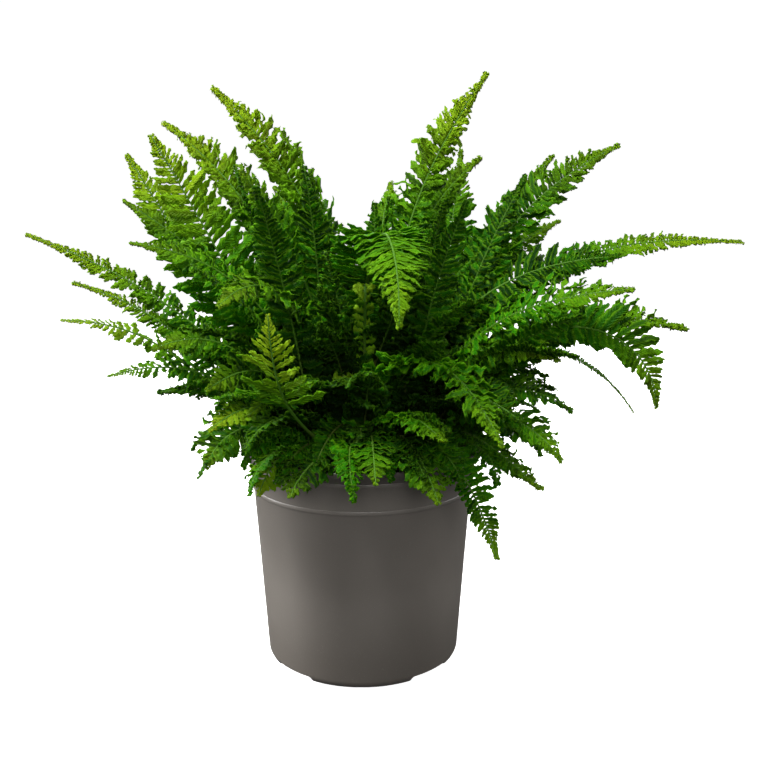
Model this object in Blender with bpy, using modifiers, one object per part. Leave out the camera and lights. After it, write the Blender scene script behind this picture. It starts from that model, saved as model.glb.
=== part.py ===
"""A fern in a round nursery pot: pot, potting mix, crown, fronds and young crosiers.

Units are metres with +Z up. The origin is on the pot's axis, at the level it stands on.
-Y is the front. Sizes below are in millimetres and are turned into metres by MM.
"""

import math
from dataclasses import dataclass, replace

import bmesh
import bpy
import numpy as np
from mathutils import Matrix
from mathutils.bvhtree import BVHTree

MM = 0.001

# The pot
POT_HEIGHT = 108.0
POT_MOUTH_RADIUS = 60.0
POT_BASE_RADIUS = 48.2
POT_WALL = 1.2
LIP_HEIGHT = 7.0
LIP_FLARE = 4.1
COLLAR_HEIGHT = 13.0
COLLAR_TAPER = 1.5
COLLAR_STEP = 0.4
BEAD_WIDTH = 1.0
BEAD_HEIGHT = 0.45
BASE_CORNER = 4.5
FOOT_RING_WIDTH = 8.0
BASE_RECESS = 3.0
CENTRE_PAD_RADIUS = 22.0
SLOT_WIDTH = 25.0
SLOT_HEIGHT = 3.5
SLOT_CORNER = 1.5
FOOT_COUNT = 4
NICK_WIDTH = 4.0
NICK_HEIGHT = 0.8
NICK_CORNER = 0.3
DRAIN_RADIUS = 4.0
TURN_STEPS = 64

# Where the pot's collar lies, from the sizes above
LIP_FOOT = POT_HEIGHT - LIP_HEIGHT
COLLAR_FOOT = LIP_FOOT - COLLAR_HEIGHT
COLLAR_RADIUS = POT_MOUTH_RADIUS - LIP_FLARE
COLLAR_FOOT_RADIUS = COLLAR_RADIUS - COLLAR_TAPER
FOOT_RING_INNER_RADIUS = POT_BASE_RADIUS - FOOT_RING_WIDTH

# The potting mix and the crown that the fronds rise from
FIT_GAP = 0.35
MIX_BELOW_RIM = 8.0
MIX_CROWNING = 2.0
CROWN_RADIUS = 36.0
CROWN_HEIGHT = 10.0

# The fronds
STATIONS = 15
STALK_RADIUS = 1.1
STALK_SHARE = 0.10
BLADE_THICKNESS = 1.5
TIP_WIDTH = 2.6
TIP_THICKNESS = 0.8
CHANNEL = 0.09
SEAT_GAP = 1.8
ARRIVAL = 0.42
FROND_CLEARANCE = 0.4
MOST_TRIES = 3000
SPREAD_ROOTS = (0.7549, 0.5698, 0.8192, 0.6711, 0.5497, 0.4503, 0.8567, 0.9116)

# The young crosiers
CROSIER_RADIUS = 1.1
CROSIER_COIL_RADIUS = 4.8
CROSIER_COIL_PITCH = 2.7
CROSIER_TURNS = 1.1
STALK_POINTS = 8
LEAN_POWER = 1.6


@dataclass(frozen=True)
class Growth:
    """How one frond grows out of the crown.

    azimuth: degrees round the pot, anticlockwise from +X seen from above.
    reach, height: how far the tip is out past the pot's mouth and up above its rim, in
        millimetres.
    launch, rise: the midrib's slope at the crown and at the tip, in degrees above level.
    width: the blade's full width at its widest, in millimetres.
    roll: how far the blade has turned about its midrib by the tip, in degrees.
    sweep: how far the tip swings sideways from the frond's own plane, in millimetres.
    seat: the stalk's distance from the pot's axis, as a share of the crown's radius.
    arch: how far it follows its launch before it bends over, as a share of its span.
    taper: how steadily the blade narrows; a low value keeps it wide nearly to its tip.
    """

    name: str
    azimuth: float
    reach: float
    height: float
    launch: float
    rise: float
    width: float
    roll: float = 0.0
    sweep: float = 0.0
    seat: float = 0.56
    arch: float = 0.48
    taper: float = 0.65


@dataclass(frozen=True)
class Tier:
    """A ring of like fronds: how many, the first one's azimuth and the turn to the next."""

    name: str
    count: int
    first: float
    turn: float
    pattern: Growth


# Fronds with a place of their own, the most open ones first.
LEADING = (
    Growth("right_long", 3, 127, 98, 66, -4, 30, 45, 0, 0.67),
    Growth("front_arching", 267, 56, 70, 87, -68, 42, 0, 22, 0.22, 0.92, 0.32),
    Growth("right_front_bright", 336, 70, 80, 60, 8, 34, 40, 0, 0.56),
    Growth("front_left_open", 249, 36, 72, 32, 86, 36, 0, 0, 0.86),
    Growth("front_right_drooping", 298, 58, 23, 72, -48, 28, -15, 0, 0.5, 0.62),
    Growth("left_long", 184, 97, 102, 46, 22, 28, -50, 0, 0.67),
    Growth("left_open", 181, 39, 148, 54, 60, 34, -75, 0, 0.33),
    Growth("top_right", 18, 4, 179, 82, 54, 26, 60, 0, 0.17),
    Growth("top_left", 160, 19, 173, 88, 42, 30, -45, 0, 0.22),
    Growth("right_bright", 9, 68, 145, 58, 26, 36, 50, 0, 0.39),
    Growth("left_second", 191, 76, 80, 42, 16, 22, -45, 0, 0.83),
    Growth("left_third", 196, 77, 67, 36, 6, 24, -35, 0, 0.89),
    Growth("right_front_long", 344, 90, 61, 48, -12, 26, 35, 0, 0.83),
    Growth("right_hanging", 349, 79, 28, 62, -84, 24, 60, 0, 0.72, 0.74, 0.5),
    Growth("right_hanging_slim", 356, 73, 15, 66, -58, 12, 40, 0, 0.89, 0.74),
    Growth("left_steep", 167, 63, 143, 44, 58, 28, -50, 0, 0.56),
    Growth("back_left_tall", 151, 62, 160, 70, 32, 26, -45, 0, 0.44),
    Growth("back_right_upright", 56, 36, 148, 50, 80, 36, 0, 0, 0.56),
    Growth("right_inner", 39, 19, 141, 80, 32, 26, 40, 0, 0.33),
    Growth("right_slim", 31, 58, 143, 62, 45, 18, 40, 0, 0.67),
    Growth("right_low_broad", 336, 41, -1, 64, -50, 30, 30, 0, 0.72),
    Growth("right_low_slim", 321, 41, -6, 52, -30, 22, 20, 0, 0.89),
    Growth("front_right_trailing", 305, 41, -30, 52, -65, 20, 40, 0, 0.89),
    Growth("left_low", 203, 61, 40, 46, -14, 22, -30, 0, 0.89),
    Growth("front_left_rim", 248, 24, -8, 55, -70, 28, 0, 0, 0.83),
    Growth("front_rim", 264, 24, -4, 48, -20, 22, 0, -20, 0.92),
    Growth("front_right_rim", 291, 32, -6, 50, -40, 26, 0, 0, 0.89),
    Growth("left_low_hanging", 213, 27, 3, 60, -70, 28, -30, 0, 0.83),
    Growth("front_right_level", 289, 44, 24, 52, -5, 20, -10, 0, 0.72),
    Growth("front_left_arching", 234, 35, 74, 72, -35, 26, -20, 0, 0.39),
    Growth("left_mass_high", 174, 58, 118, 56, 30, 34, -45, 0, 0.5),
    Growth("left_mass_middle", 197, 48, 98, 62, 12, 34, -50, 0, 0.5),
    Growth("left_mass_low", 206, 42, 52, 58, -22, 32, -40, 0, 0.72),
    Growth("right_mass_high", 352, 67, 82, 64, 4, 40, 50, 0, 0.39),
    Growth("right_mass_middle", 22, 66, 108, 64, 10, 34, 50, 0, 0.56),
    Growth("right_mass_low", 324, 44, 50, 62, -24, 32, 35, 0, 0.67),
    Growth("centre_left_upright", 216, 2, 130, 78, 52, 34, -60, 0, 0.22),
    Growth("centre_upright", 285, -18, 98, 84, 62, 32, 50, 0, 0.17),
    Growth("front_left_low", 226, 32, 20, 58, -30, 28, -25, 0, 0.78),
    Growth("front_middle", 262, 20, 44, 66, -12, 26, 20, 0, 0.61),
    Growth("front_right_middle", 313, 32, 30, 62, -24, 28, 25, 0, 0.61),
    Growth("left_low_mass", 200, 26, 20, 62, -45, 30, -35, 0, 0.78),
    Growth("right_low_mass", 346, 24, 18, 62, -44, 30, 35, 0, 0.78),
    Growth("front_low", 276, 26, 4, 60, -45, 28, 0, 0, 0.83),
    Growth("front_left_mass", 240, 22, 14, 62, -40, 28, -10, 0, 0.78),
)

# Fronds that fill the tiers behind and between them.
FILLING = (
    Tier("back_upright", 3, 80, 23, Growth("", 0, 24, 130, 70, 35, 32, 30, 0, 0.39)),
    Tier("back_arching", 4, 50, 28, Growth("", 0, 62, 84, 60, -15, 30, 0, 0, 0.67)),
    Tier("low_back", 3, 45, 45, Growth("", 0, 32, 4, 52, -50, 26, 0, 0, 0.89)),
)

# Young crosiers: (azimuth, seat, height of the coil above the rim, lean outward).
CROSIERS = ((258, 0.75, 33, 12), (273, 0.61, 74, 24))

PLASTIC = ("pot_plastic", (0.089, 0.082, 0.076), 0.42)
MIX = ("potting_mix", (0.022, 0.015, 0.010), 0.95)
CROWN = ("crown", (0.080, 0.052, 0.024), 0.85)
LEAF = ("frond", (0.060, 0.190, 0.015), 0.50)
YOUNG = ("young_frond", (0.150, 0.290, 0.030), 0.55)


def clear_scene():
    """Removes every object of the startup scene."""
    for obj in list(bpy.data.objects):
        bpy.data.objects.remove(obj, do_unlink=True)


def new_collection(name, hidden=False):
    """Adds a collection to the scene, left out of renders if hidden."""
    collection = bpy.data.collections.new(name)
    collection.hide_render = hidden
    bpy.context.scene.collection.children.link(collection)
    return collection


def material(finish):
    """Returns the material of a (name, colour, roughness) finish, made on first use."""
    name, colour, roughness = finish
    found = bpy.data.materials.get(name)
    if found:
        return found
    made = bpy.data.materials.new(name)
    made.use_nodes = True
    shader = made.node_tree.nodes["Principled BSDF"]
    shader.inputs["Base Color"].default_value = (*colour, 1.0)
    shader.inputs["Roughness"].default_value = roughness
    shader.inputs["Metallic"].default_value = 0.0
    made.diffuse_color = (*colour, 1.0)
    return made


def new_object(name, mesh, collection, finish=None):
    """Links a new object of this mesh to the collection, with its finish."""
    obj = bpy.data.objects.new(name, mesh)
    collection.objects.link(obj)
    if finish:
        obj.data.materials.append(material(finish))
    return obj


def turned(name, profile, collection, finish):
    """Turns an (r, z) profile in millimetres about Z, with its ends on the axis.

    The profile runs from the axis at the top, down the outer side and back to the axis.
    """
    mesh = bpy.data.meshes.new(name)
    points = [(r * MM, 0.0, z * MM) for r, z in profile]
    edges = [(i, i + 1) for i in range(len(points) - 1)]
    mesh.from_pydata(points, edges, [])
    obj = new_object(name, mesh, collection, finish)
    screw = obj.modifiers.new("Turn", "SCREW")
    screw.angle = math.tau
    screw.steps = TURN_STEPS
    screw.render_steps = TURN_STEPS
    screw.use_merge_vertices = True
    screw.merge_threshold = 0.00001
    screw.use_smooth_shade = True
    return obj


def rounded(centre, radius, start, end, count):
    """Points in millimetres on an arc about centre, from start to end in degrees."""
    angles = [math.radians(start + (end - start) * i / count) for i in range(count + 1)]
    return [(centre[0] + radius * math.cos(a), centre[1] + radius * math.sin(a)) for a in angles]


def wall_radius(z):
    """The pot's outer radius below its collar, at height z in millimetres."""
    share = (z - BASE_CORNER) / (COLLAR_FOOT - BASE_CORNER)
    below_collar = COLLAR_FOOT_RADIUS - COLLAR_STEP
    return POT_BASE_RADIUS + (below_collar - POT_BASE_RADIUS) * share


def make_pot(collection, cutters):
    """The pot: one thin turned wall with a flared lip, a collar, and feet under its base."""
    floor = BASE_RECESS + POT_WALL
    corner = (POT_BASE_RADIUS - BASE_CORNER, BASE_CORNER)
    inside = [
        (0.0, POT_WALL),
        (CENTRE_PAD_RADIUS - POT_WALL, POT_WALL),
        (CENTRE_PAD_RADIUS + 0.6, floor),
        (wall_radius(floor) - POT_WALL - 1.5, floor),
        (wall_radius(floor + 1.5) - POT_WALL, floor + 1.5),
        (wall_radius(COLLAR_FOOT) - POT_WALL, COLLAR_FOOT),
        (COLLAR_FOOT_RADIUS - POT_WALL, COLLAR_FOOT + 1.0),
        (COLLAR_RADIUS - POT_WALL, LIP_FOOT),
        (POT_MOUTH_RADIUS - POT_WALL - 0.6, POT_HEIGHT - 0.6),
    ]
    lip = rounded((POT_MOUTH_RADIUS - 0.8, POT_HEIGHT - 0.8), 0.8, 110, -30, 5)
    outside = [
        (COLLAR_RADIUS + BEAD_HEIGHT, LIP_FOOT + BEAD_WIDTH / 2),
        (COLLAR_RADIUS + BEAD_HEIGHT, LIP_FOOT),
        (COLLAR_RADIUS, LIP_FOOT - BEAD_WIDTH / 2),
        (COLLAR_FOOT_RADIUS, COLLAR_FOOT + BEAD_WIDTH),
        (COLLAR_FOOT_RADIUS + BEAD_HEIGHT, COLLAR_FOOT + BEAD_WIDTH / 2),
        (COLLAR_FOOT_RADIUS - COLLAR_STEP, COLLAR_FOOT - BEAD_WIDTH / 2),
        (wall_radius(COLLAR_FOOT * 0.5), COLLAR_FOOT * 0.5),
    ]
    base = rounded(corner, BASE_CORNER, 0, -90, 5)
    underside = [
        (FOOT_RING_INNER_RADIUS, 0.0),
        (FOOT_RING_INNER_RADIUS - 1.2, BASE_RECESS),
        (CENTRE_PAD_RADIUS + 1.4, BASE_RECESS),
        (CENTRE_PAD_RADIUS, 0.0),
        (0.0, 0.0),
    ]
    pot = turned("pot", inside + lip + outside + base + underside, collection, PLASTIC)

    reach = (FOOT_RING_INNER_RADIUS - 3.0, POT_BASE_RADIUS + 4.0)
    for index in range(FOOT_COUNT):
        turn = math.tau * (index + 0.5) / FOOT_COUNT
        slot = slot_cutter(reach, SLOT_WIDTH, SLOT_HEIGHT, SLOT_CORNER, turn)
        cut(pot, "slot", index, slot, cutters)
        cut(pot, "drain", index, drain_cutter(turn, floor), cutters)
        turn = math.tau * index / FOOT_COUNT
        nick = slot_cutter(reach, NICK_WIDTH, NICK_HEIGHT, NICK_CORNER, turn)
        cut(pot, "nick", index, nick, cutters)
    return pot


def slot_cutter(reach, width, height, corner, turn):
    """A bar with rounded long edges that lies along a radius and stands height above the floor."""
    bm = bmesh.new()
    bmesh.ops.create_cube(bm, size=1.0)
    bmesh.ops.scale(bm, verts=bm.verts, vec=((reach[1] - reach[0]) * MM, width * MM, 2 * height * MM))
    long_edges = [edge for edge in bm.edges if abs(edge.verts[0].co.x - edge.verts[1].co.x) > 0.5 * MM]
    bmesh.ops.bevel(bm, geom=long_edges, offset=corner * MM, segments=3, profile=0.5, affect="EDGES")
    bmesh.ops.translate(bm, verts=bm.verts, vec=((reach[0] + reach[1]) / 2 * MM, 0.0, 0.0))
    bmesh.ops.rotate(bm, verts=bm.verts, matrix=Matrix.Rotation(turn, 3, "Z"))
    return bm


def drain_cutter(turn, floor):
    """A round bar through the recessed floor, midway between the foot ring and the pad."""
    out = (FOOT_RING_INNER_RADIUS + CENTRE_PAD_RADIUS) / 2
    bm = bmesh.new()
    bmesh.ops.create_cone(
        bm,
        cap_ends=True,
        segments=24,
        radius1=DRAIN_RADIUS * MM,
        radius2=DRAIN_RADIUS * MM,
        depth=4.0 * floor * MM,
    )
    bmesh.ops.translate(bm, verts=bm.verts, vec=(out * math.cos(turn) * MM, out * math.sin(turn) * MM, 0.0))
    return bm


def cut(target, kind, index, bm, cutters):
    """Cuts the bmesh out of target with a Boolean, and keeps it as a hidden cutter."""
    bmesh.ops.recalc_face_normals(bm, faces=bm.faces)
    mesh = bpy.data.meshes.new(f"{kind}_cutter_{index + 1}")
    bm.to_mesh(mesh)
    bm.free()
    cutter = new_object(mesh.name, mesh, cutters)
    cutter.hide_render = True
    cutter.display_type = "WIRE"
    boolean = target.modifiers.new(f"{kind} {index + 1}", "BOOLEAN")
    boolean.operation = "DIFFERENCE"
    boolean.solver = "EXACT"
    boolean.object = cutter


def mix_level():
    """Height in millimetres of the potting mix in the middle of the pot."""
    return POT_HEIGHT - MIX_BELOW_RIM + MIX_CROWNING


def make_mix(collection):
    """The potting mix, a solid plug that follows the inside of the pot."""
    floor = BASE_RECESS + POT_WALL + FIT_GAP
    edge = POT_HEIGHT - MIX_BELOW_RIM
    off = POT_WALL + FIT_GAP
    collar = COLLAR_FOOT_RADIUS + COLLAR_TAPER * (edge - COLLAR_FOOT) / COLLAR_HEIGHT
    profile = [
        (0.0, mix_level()),
        (CROWN_RADIUS + 1.0, mix_level()),
        (collar - off - 3.0, edge),
        (collar - off - 0.5, edge - 1.0),
        (COLLAR_FOOT_RADIUS - COLLAR_STEP - off, COLLAR_FOOT + 1.0),
        (wall_radius(COLLAR_FOOT * 0.5) - off, COLLAR_FOOT * 0.5),
        (wall_radius(floor + 2.0) - off, floor + 2.0),
        (wall_radius(floor) - off - 2.0, floor),
        (0.0, floor),
    ]
    return turned("potting_mix", profile, collection, MIX)


def crown_height(radius):
    """Height in millimetres of the crown's surface at this distance from the axis."""
    share = max(0.0, 1.0 - (radius / CROWN_RADIUS) ** 2)
    return mix_level() + FIT_GAP + CROWN_HEIGHT * math.sqrt(share)


def make_crown(collection):
    """The crown: a low dome of crowded rootstocks on the potting mix."""
    angles = [math.radians(90 - 12 * i) for i in range(8)]
    profile = [
        (CROWN_RADIUS * math.cos(a), mix_level() + FIT_GAP + CROWN_HEIGHT * math.sin(a))
        for a in angles
    ]
    profile[0] = (0.0, profile[0][1])
    profile += [(CROWN_RADIUS - 0.5, mix_level() + FIT_GAP), (0.0, mix_level() + FIT_GAP)]
    return turned("crown", profile, collection, CROWN)


def make_crosier(name, azimuth, seat, height, lean, collection):
    """A young frond: a round stalk that leans outward and ends in a coil, as a bevelled curve."""
    turn = math.radians(azimuth)
    start_out = seat * CROWN_RADIUS
    foot = crown_height(start_out) + SEAT_GAP
    rise = POT_HEIGHT + height - foot
    points = []
    for i in range(STALK_POINTS):
        share = i / STALK_POINTS
        points.append((start_out + lean * share**LEAN_POWER, foot + rise * share))
    heading = math.atan2(rise, LEAN_POWER * lean) - math.pi / 2
    centre_out = start_out + lean - CROSIER_COIL_RADIUS * math.cos(heading)
    centre_up = foot + rise - CROSIER_COIL_RADIUS * math.sin(heading)
    steps = round(16 * CROSIER_TURNS)
    for i in range(steps + 1):
        angle = math.tau * CROSIER_TURNS * i / steps
        radius = CROSIER_COIL_RADIUS - CROSIER_COIL_PITCH * angle / math.tau
        points.append(
            (
                centre_out + radius * math.cos(heading + angle),
                centre_up + radius * math.sin(heading + angle),
            )
        )
    curve = bpy.data.curves.new(name, "CURVE")
    curve.dimensions = "3D"
    curve.bevel_depth = CROSIER_RADIUS * MM
    curve.bevel_resolution = 1
    curve.use_fill_caps = True
    spline = curve.splines.new("POLY")
    spline.points.add(len(points) - 1)
    for point, (out, up) in zip(spline.points, points):
        point.co = (out * math.cos(turn) * MM, out * math.sin(turn) * MM, up * MM, 1.0)
    return new_object(name, curve, collection, YOUNG)


def unit(vector):
    """The vector at length 1, along its last axis."""
    return vector / np.linalg.norm(vector, axis=-1, keepdims=True)


def smooth(share):
    """Eases a share from 0 to 1 with level ends."""
    share = np.clip(share, 0.0, 1.0)
    return share * share * (3.0 - 2.0 * share)


def blade_outline(growth):
    """Half-widths and half-thicknesses of the frond at its stations, in millimetres.

    A bare round stalk widens quickly into a blade that tapers all the way to its tip.
    """
    along = np.linspace(0.0, 1.0, STATIONS)
    on_blade = np.clip((along - STALK_SHARE) / (1.0 - STALK_SHARE), 0.0, 1.0)
    narrowing = np.maximum(1.0 - on_blade, 0.0) ** growth.taper
    blade = np.maximum(growth.width / 2 * narrowing, TIP_WIDTH / 2)
    opened = smooth(on_blade / 0.14)
    half_width = STALK_RADIUS + (blade - STALK_RADIUS) * opened
    thin = BLADE_THICKNESS + (TIP_THICKNESS - BLADE_THICKNESS) * on_blade
    half_thickness = STALK_RADIUS + (thin / 2 - STALK_RADIUS) * opened
    return along, half_width, half_thickness, CHANNEL * half_width * opened


def frond_rings(growth, clearance=0.0):
    """The frond's cross-sections, as (stations, 4, 3) points in metres.

    Each section is a slim kite across the midrib, channelled on top: left edge, ridge,
    right edge, keel. The midrib is a cubic Bezier curve from the crown to the tip.
    """
    turn = math.radians(growth.azimuth)
    outward = np.array([math.cos(turn), math.sin(turn), 0.0])
    sideways = np.array([-math.sin(turn), math.cos(turn), 0.0])
    upward = np.array([0.0, 0.0, 1.0])
    launch, rise = math.radians(growth.launch), math.radians(growth.rise)
    leaving = math.cos(launch) * outward + math.sin(launch) * upward
    arriving = math.cos(rise) * outward + math.sin(rise) * upward
    seat = growth.seat * CROWN_RADIUS
    reach, height = POT_MOUTH_RADIUS + growth.reach, POT_HEIGHT + growth.height
    start = seat * outward + crown_height(seat) * upward + SEAT_GAP * leaving
    end = reach * outward + growth.sweep * sideways + height * upward
    chord = np.linalg.norm(end - start)
    second = start + leaving * chord * growth.arch
    third = end - arriving * chord * ARRIVAL

    along, half_width, half_thickness, sag = blade_outline(growth)
    t = along[:, None]
    middle = (
        (1 - t) ** 3 * start
        + 3 * (1 - t) ** 2 * t * second
        + 3 * (1 - t) * t**2 * third
        + t**3 * end
    )
    tangent = unit(
        (1 - t) ** 2 * (second - start) + 2 * (1 - t) * t * (third - second) + t**2 * (end - third)
    )
    side = unit(sideways - (tangent @ sideways)[:, None] * tangent)
    top = np.cross(tangent, side)
    roll = np.radians(growth.roll) * smooth(along / 0.8)[:, None]
    side, top = side * np.cos(roll) + top * np.sin(roll), top * np.cos(roll) - side * np.sin(roll)

    wide = (half_width + clearance)[:, None]
    thick = (half_thickness + clearance)[:, None]
    drop = sag[:, None]
    sections = (
        middle - side * wide - top * drop,
        middle + top * thick,
        middle + side * wide - top * drop,
        middle - top * thick,
    )
    return np.stack(sections, axis=1) * MM


def ring_faces():
    """Triangles that join a frond's sections into one closed skin, as vertex numbers.

    Each quad is split from the midrib at the lower section to the edge at the upper one, on
    top and underneath alike, so that the two skins of a twisted blade never cross.
    """
    faces = [(2, 1, 0), (3, 2, 0)]
    for low in range(0, 4 * STATIONS - 4, 4):
        for corner in range(4):
            after = (corner + 1) % 4
            quad = (low + corner, low + after, low + 4 + after, low + 4 + corner)
            if corner % 2:
                faces += [(quad[0], quad[1], quad[2]), (quad[0], quad[2], quad[3])]
            else:
                faces += [(quad[0], quad[1], quad[3]), (quad[1], quad[2], quad[3])]
    last = 4 * STATIONS - 4
    faces += [(last, last + 1, last + 2), (last, last + 2, last + 3)]
    return faces


def tree_of(rings):
    """A search tree of one frond's skin."""
    return BVHTree.FromPolygons(rings.reshape(-1, 3).tolist(), ring_faces())


def nudged(growth, attempt):
    """The frond moved a little further from its own place with each attempt.

    The steps follow multiples of irrational shares, so they spread evenly and are the
    same on each run.
    """
    if attempt == 0:
        return growth
    spread = min(1.0, 0.03 + attempt / 600)
    shifts = [((attempt * root) % 1.0 - 0.5) * spread for root in SPREAD_ROOTS]
    return replace(
        growth,
        azimuth=growth.azimuth + 40 * shifts[0],
        reach=growth.reach + 30 * shifts[1],
        height=growth.height + 36 * shifts[2],
        launch=min(88.0, growth.launch + 40 * shifts[3]),
        rise=growth.rise + 36 * shifts[4],
        roll=growth.roll + 80 * shifts[5],
        sweep=growth.sweep + 40 * shifts[6],
        seat=min(0.94, max(0.11, growth.seat + 0.67 * shifts[7])),
    )


def clear_of(rings, trees):
    """Whether a frond's skin meets none of the trees."""
    tree = tree_of(rings)
    return not any(tree.overlap(other) for other in trees)


def grow(growth, trees):
    """The sections of the frond in the nearest place where it stays clear of the others."""
    for attempt in range(MOST_TRIES):
        tried = nudged(growth, attempt)
        if clear_of(frond_rings(tried, FROND_CLEARANCE), trees):
            break
    return frond_rings(tried)


def make_frond(name, rings, collection):
    """The closed solid of one frond, lofted through its sections."""
    bm = bmesh.new()
    verts = [bm.verts.new(point) for point in rings.reshape(-1, 3)]
    for face in ring_faces():
        bm.faces.new([verts[i] for i in face])
    bmesh.ops.recalc_face_normals(bm, faces=bm.faces)
    mesh = bpy.data.meshes.new(name)
    bm.to_mesh(mesh)
    bm.free()
    mesh.shade_smooth()
    return new_object(name, mesh, collection, LEAF)


def filling_fronds():
    """The fronds of the filling tiers, turned round the pot one after another."""
    for tier in FILLING:
        for index in range(tier.count):
            yield replace(
                tier.pattern,
                name=f"{tier.name}_{index + 1}",
                azimuth=tier.first + tier.turn * index,
                roll=tier.pattern.roll * (1 if index % 2 else -1),
            )


def main():
    clear_scene()
    fern = new_collection("potted_fern")
    cutters = new_collection("cutters", hidden=True)

    solids = [make_pot(fern, cutters), make_mix(fern), make_crown(fern)]
    for index, (azimuth, seat, height, lean) in enumerate(CROSIERS):
        name = f"crosier_{index + 1:02d}"
        solids.append(make_crosier(name, azimuth, seat, height, lean, fern))

    bpy.context.view_layer.update()
    graph = bpy.context.evaluated_depsgraph_get()
    trees = []
    for solid in solids:
        mesh = solid.evaluated_get(graph).to_mesh()
        corners = [vert.co[:] for vert in mesh.vertices]
        trees.append(BVHTree.FromPolygons(corners, [tuple(face.vertices) for face in mesh.polygons]))

    for index, growth in enumerate((*LEADING, *filling_fronds())):
        rings = grow(growth, trees)
        trees.append(tree_of(rings))
        make_frond(f"frond_{index + 1:02d}", rings, fern)


main()
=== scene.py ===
"""A ruffled sword fern in a round nursery pot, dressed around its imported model.

Each frond's solid gives its midrib, its width and the way it faces. The script replaces the
solid by the frond's real parts: a rachis and two rows of ruffled leaflets. The pot, the crown
and the young crosiers get their fine shapes in the same way, and every surface its finish.

Lengths are metres, with +Z up and the origin on the pot's axis at the level it stands on. Names
that end in _mm, and all of the pot's sizes, are millimetres, which MM turns into metres.
"""

import logging
import math
from dataclasses import dataclass, field, replace
from enum import Enum

import bmesh
import bpy
import numpy as np
from mathutils import Matrix, Vector, noise


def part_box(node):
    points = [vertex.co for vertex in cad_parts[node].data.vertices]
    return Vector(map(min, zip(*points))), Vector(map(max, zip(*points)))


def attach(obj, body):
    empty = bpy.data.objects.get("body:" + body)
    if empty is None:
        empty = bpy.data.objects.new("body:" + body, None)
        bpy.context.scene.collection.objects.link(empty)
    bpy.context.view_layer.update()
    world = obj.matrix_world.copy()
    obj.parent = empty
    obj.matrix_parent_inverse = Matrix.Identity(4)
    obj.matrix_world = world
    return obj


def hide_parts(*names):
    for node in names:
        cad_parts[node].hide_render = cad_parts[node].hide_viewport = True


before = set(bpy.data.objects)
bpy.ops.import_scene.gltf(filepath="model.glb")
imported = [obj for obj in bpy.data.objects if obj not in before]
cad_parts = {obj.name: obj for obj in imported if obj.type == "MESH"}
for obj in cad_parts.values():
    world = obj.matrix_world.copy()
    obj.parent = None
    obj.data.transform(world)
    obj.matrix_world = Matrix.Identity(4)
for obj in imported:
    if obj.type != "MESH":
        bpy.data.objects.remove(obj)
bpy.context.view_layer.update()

MM = 0.001
BODY = "root"
LOG = logging.getLogger("fern")
UP = np.array([0.0, 0.0, 1.0])
WELD = 0.002 * MM  # Points nearer than this are one point.
GOLDEN_TURN = math.pi * (3.0 - math.sqrt(5.0))  # From one shoot to the next, as plants grow.
# Settings that many nodes share: a mix of two colours, and a range with eased ends.
COLOURS = {"output": 2, "data_type": "RGBA"}
EASED = {"interpolation_type": "SMOOTHSTEP"}

Array = np.ndarray
BMesh = bmesh.types.BMesh
Material = bpy.types.Material
NodeTree = bpy.types.NodeTree
Pair = tuple[float, float]
Socket = bpy.types.NodeSocket


# Helpers


def linear(hex_colour: str) -> tuple[float, ...]:
    """Turns an sRGB hex colour into linear values.

    Args:
        hex_colour: six hex digits after a #.

    Returns:
        Linear red, green, blue and an alpha of 1.
    """
    shares = [int(hex_colour[i : i + 2], 16) / 255 for i in (1, 3, 5)]
    curved = [((share + 0.055) / 1.055) ** 2.4 for share in shares]
    return (*[a / 12.92 if a <= 0.04045 else b for a, b in zip(shares, curved)], 1.0)


def unit(vectors: Array) -> Array:
    """Returns the vectors at length 1, along their last axis."""
    return vectors / np.maximum(np.linalg.norm(vectors, axis=-1, keepdims=True), 1e-12)


def smooth(share: Array) -> Array:
    """Eases shares from 0 to 1 with level ends."""
    share = np.clip(share, 0.0, 1.0)
    return share * share * (3.0 - 2.0 * share)


def arc(centre: Pair, radius: float, start: float, end: float, count: int) -> list[Pair]:
    """Works out points on an arc.

    Args:
        centre: its centre.
        radius: its radius.
        start: where it starts, in degrees.
        end: where it ends, in degrees.
        count: how many steps it takes.

    Returns:
        (radius, height) points.
    """
    turns = [math.radians(start + (end - start) * i / count) for i in range(count + 1)]
    return [(centre[0] + radius * math.cos(t), centre[1] + radius * math.sin(t)) for t in turns]


def add(
    tree: NodeTree,
    kind: str,
    inputs: dict[str | int, object] | tuple = (),
    output: str | int = 0,
    **settings: object,
) -> Socket | None:
    """Adds a shader node with its settings and links.

    Args:
        tree: the node tree that takes the node.
        kind: the node's type, without its ShaderNode.
        inputs: in order, or by name or number, the values that its inputs hold, the hex colours
            or the sockets that feed them.
        output: which output is wanted, by name or number.
        **settings: the node's own properties.

    Returns:
        The output's socket, if the node has outputs.
    """
    node = tree.nodes.new(f"ShaderNode{kind}")
    for name, value in settings.items():
        setattr(node, name, value)
    for name, value in inputs.items() if isinstance(inputs, dict) else enumerate(inputs):
        if isinstance(value, Socket):
            tree.links.new(value, node.inputs[name])
        else:
            node.inputs[name].default_value = linear(value) if isinstance(value, str) else value
    return node.outputs[output] if node.outputs else None


def turned(points: list[Pair], steps: int) -> BMesh:
    """Turns an outline round the upright axis.

    Args:
        points: the outline's (radius, height) points, in metres.
        steps: how many steps the full turn takes.

    Returns:
        The turned shape, with its doubles merged and its faces pointing outwards.
    """
    bm = bmesh.new()
    verts = [bm.verts.new((x, 0.0, z)) for x, z in points]
    edges = [bm.edges.new(pair) for pair in zip(verts, verts[1:])]
    axis = {"cent": (0, 0, 0), "axis": (0, 0, 1), "angle": math.tau}
    bmesh.ops.spin(bm, geom=[*verts, *edges], steps=steps, use_merge=True, **axis)
    return welded(bm)


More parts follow.
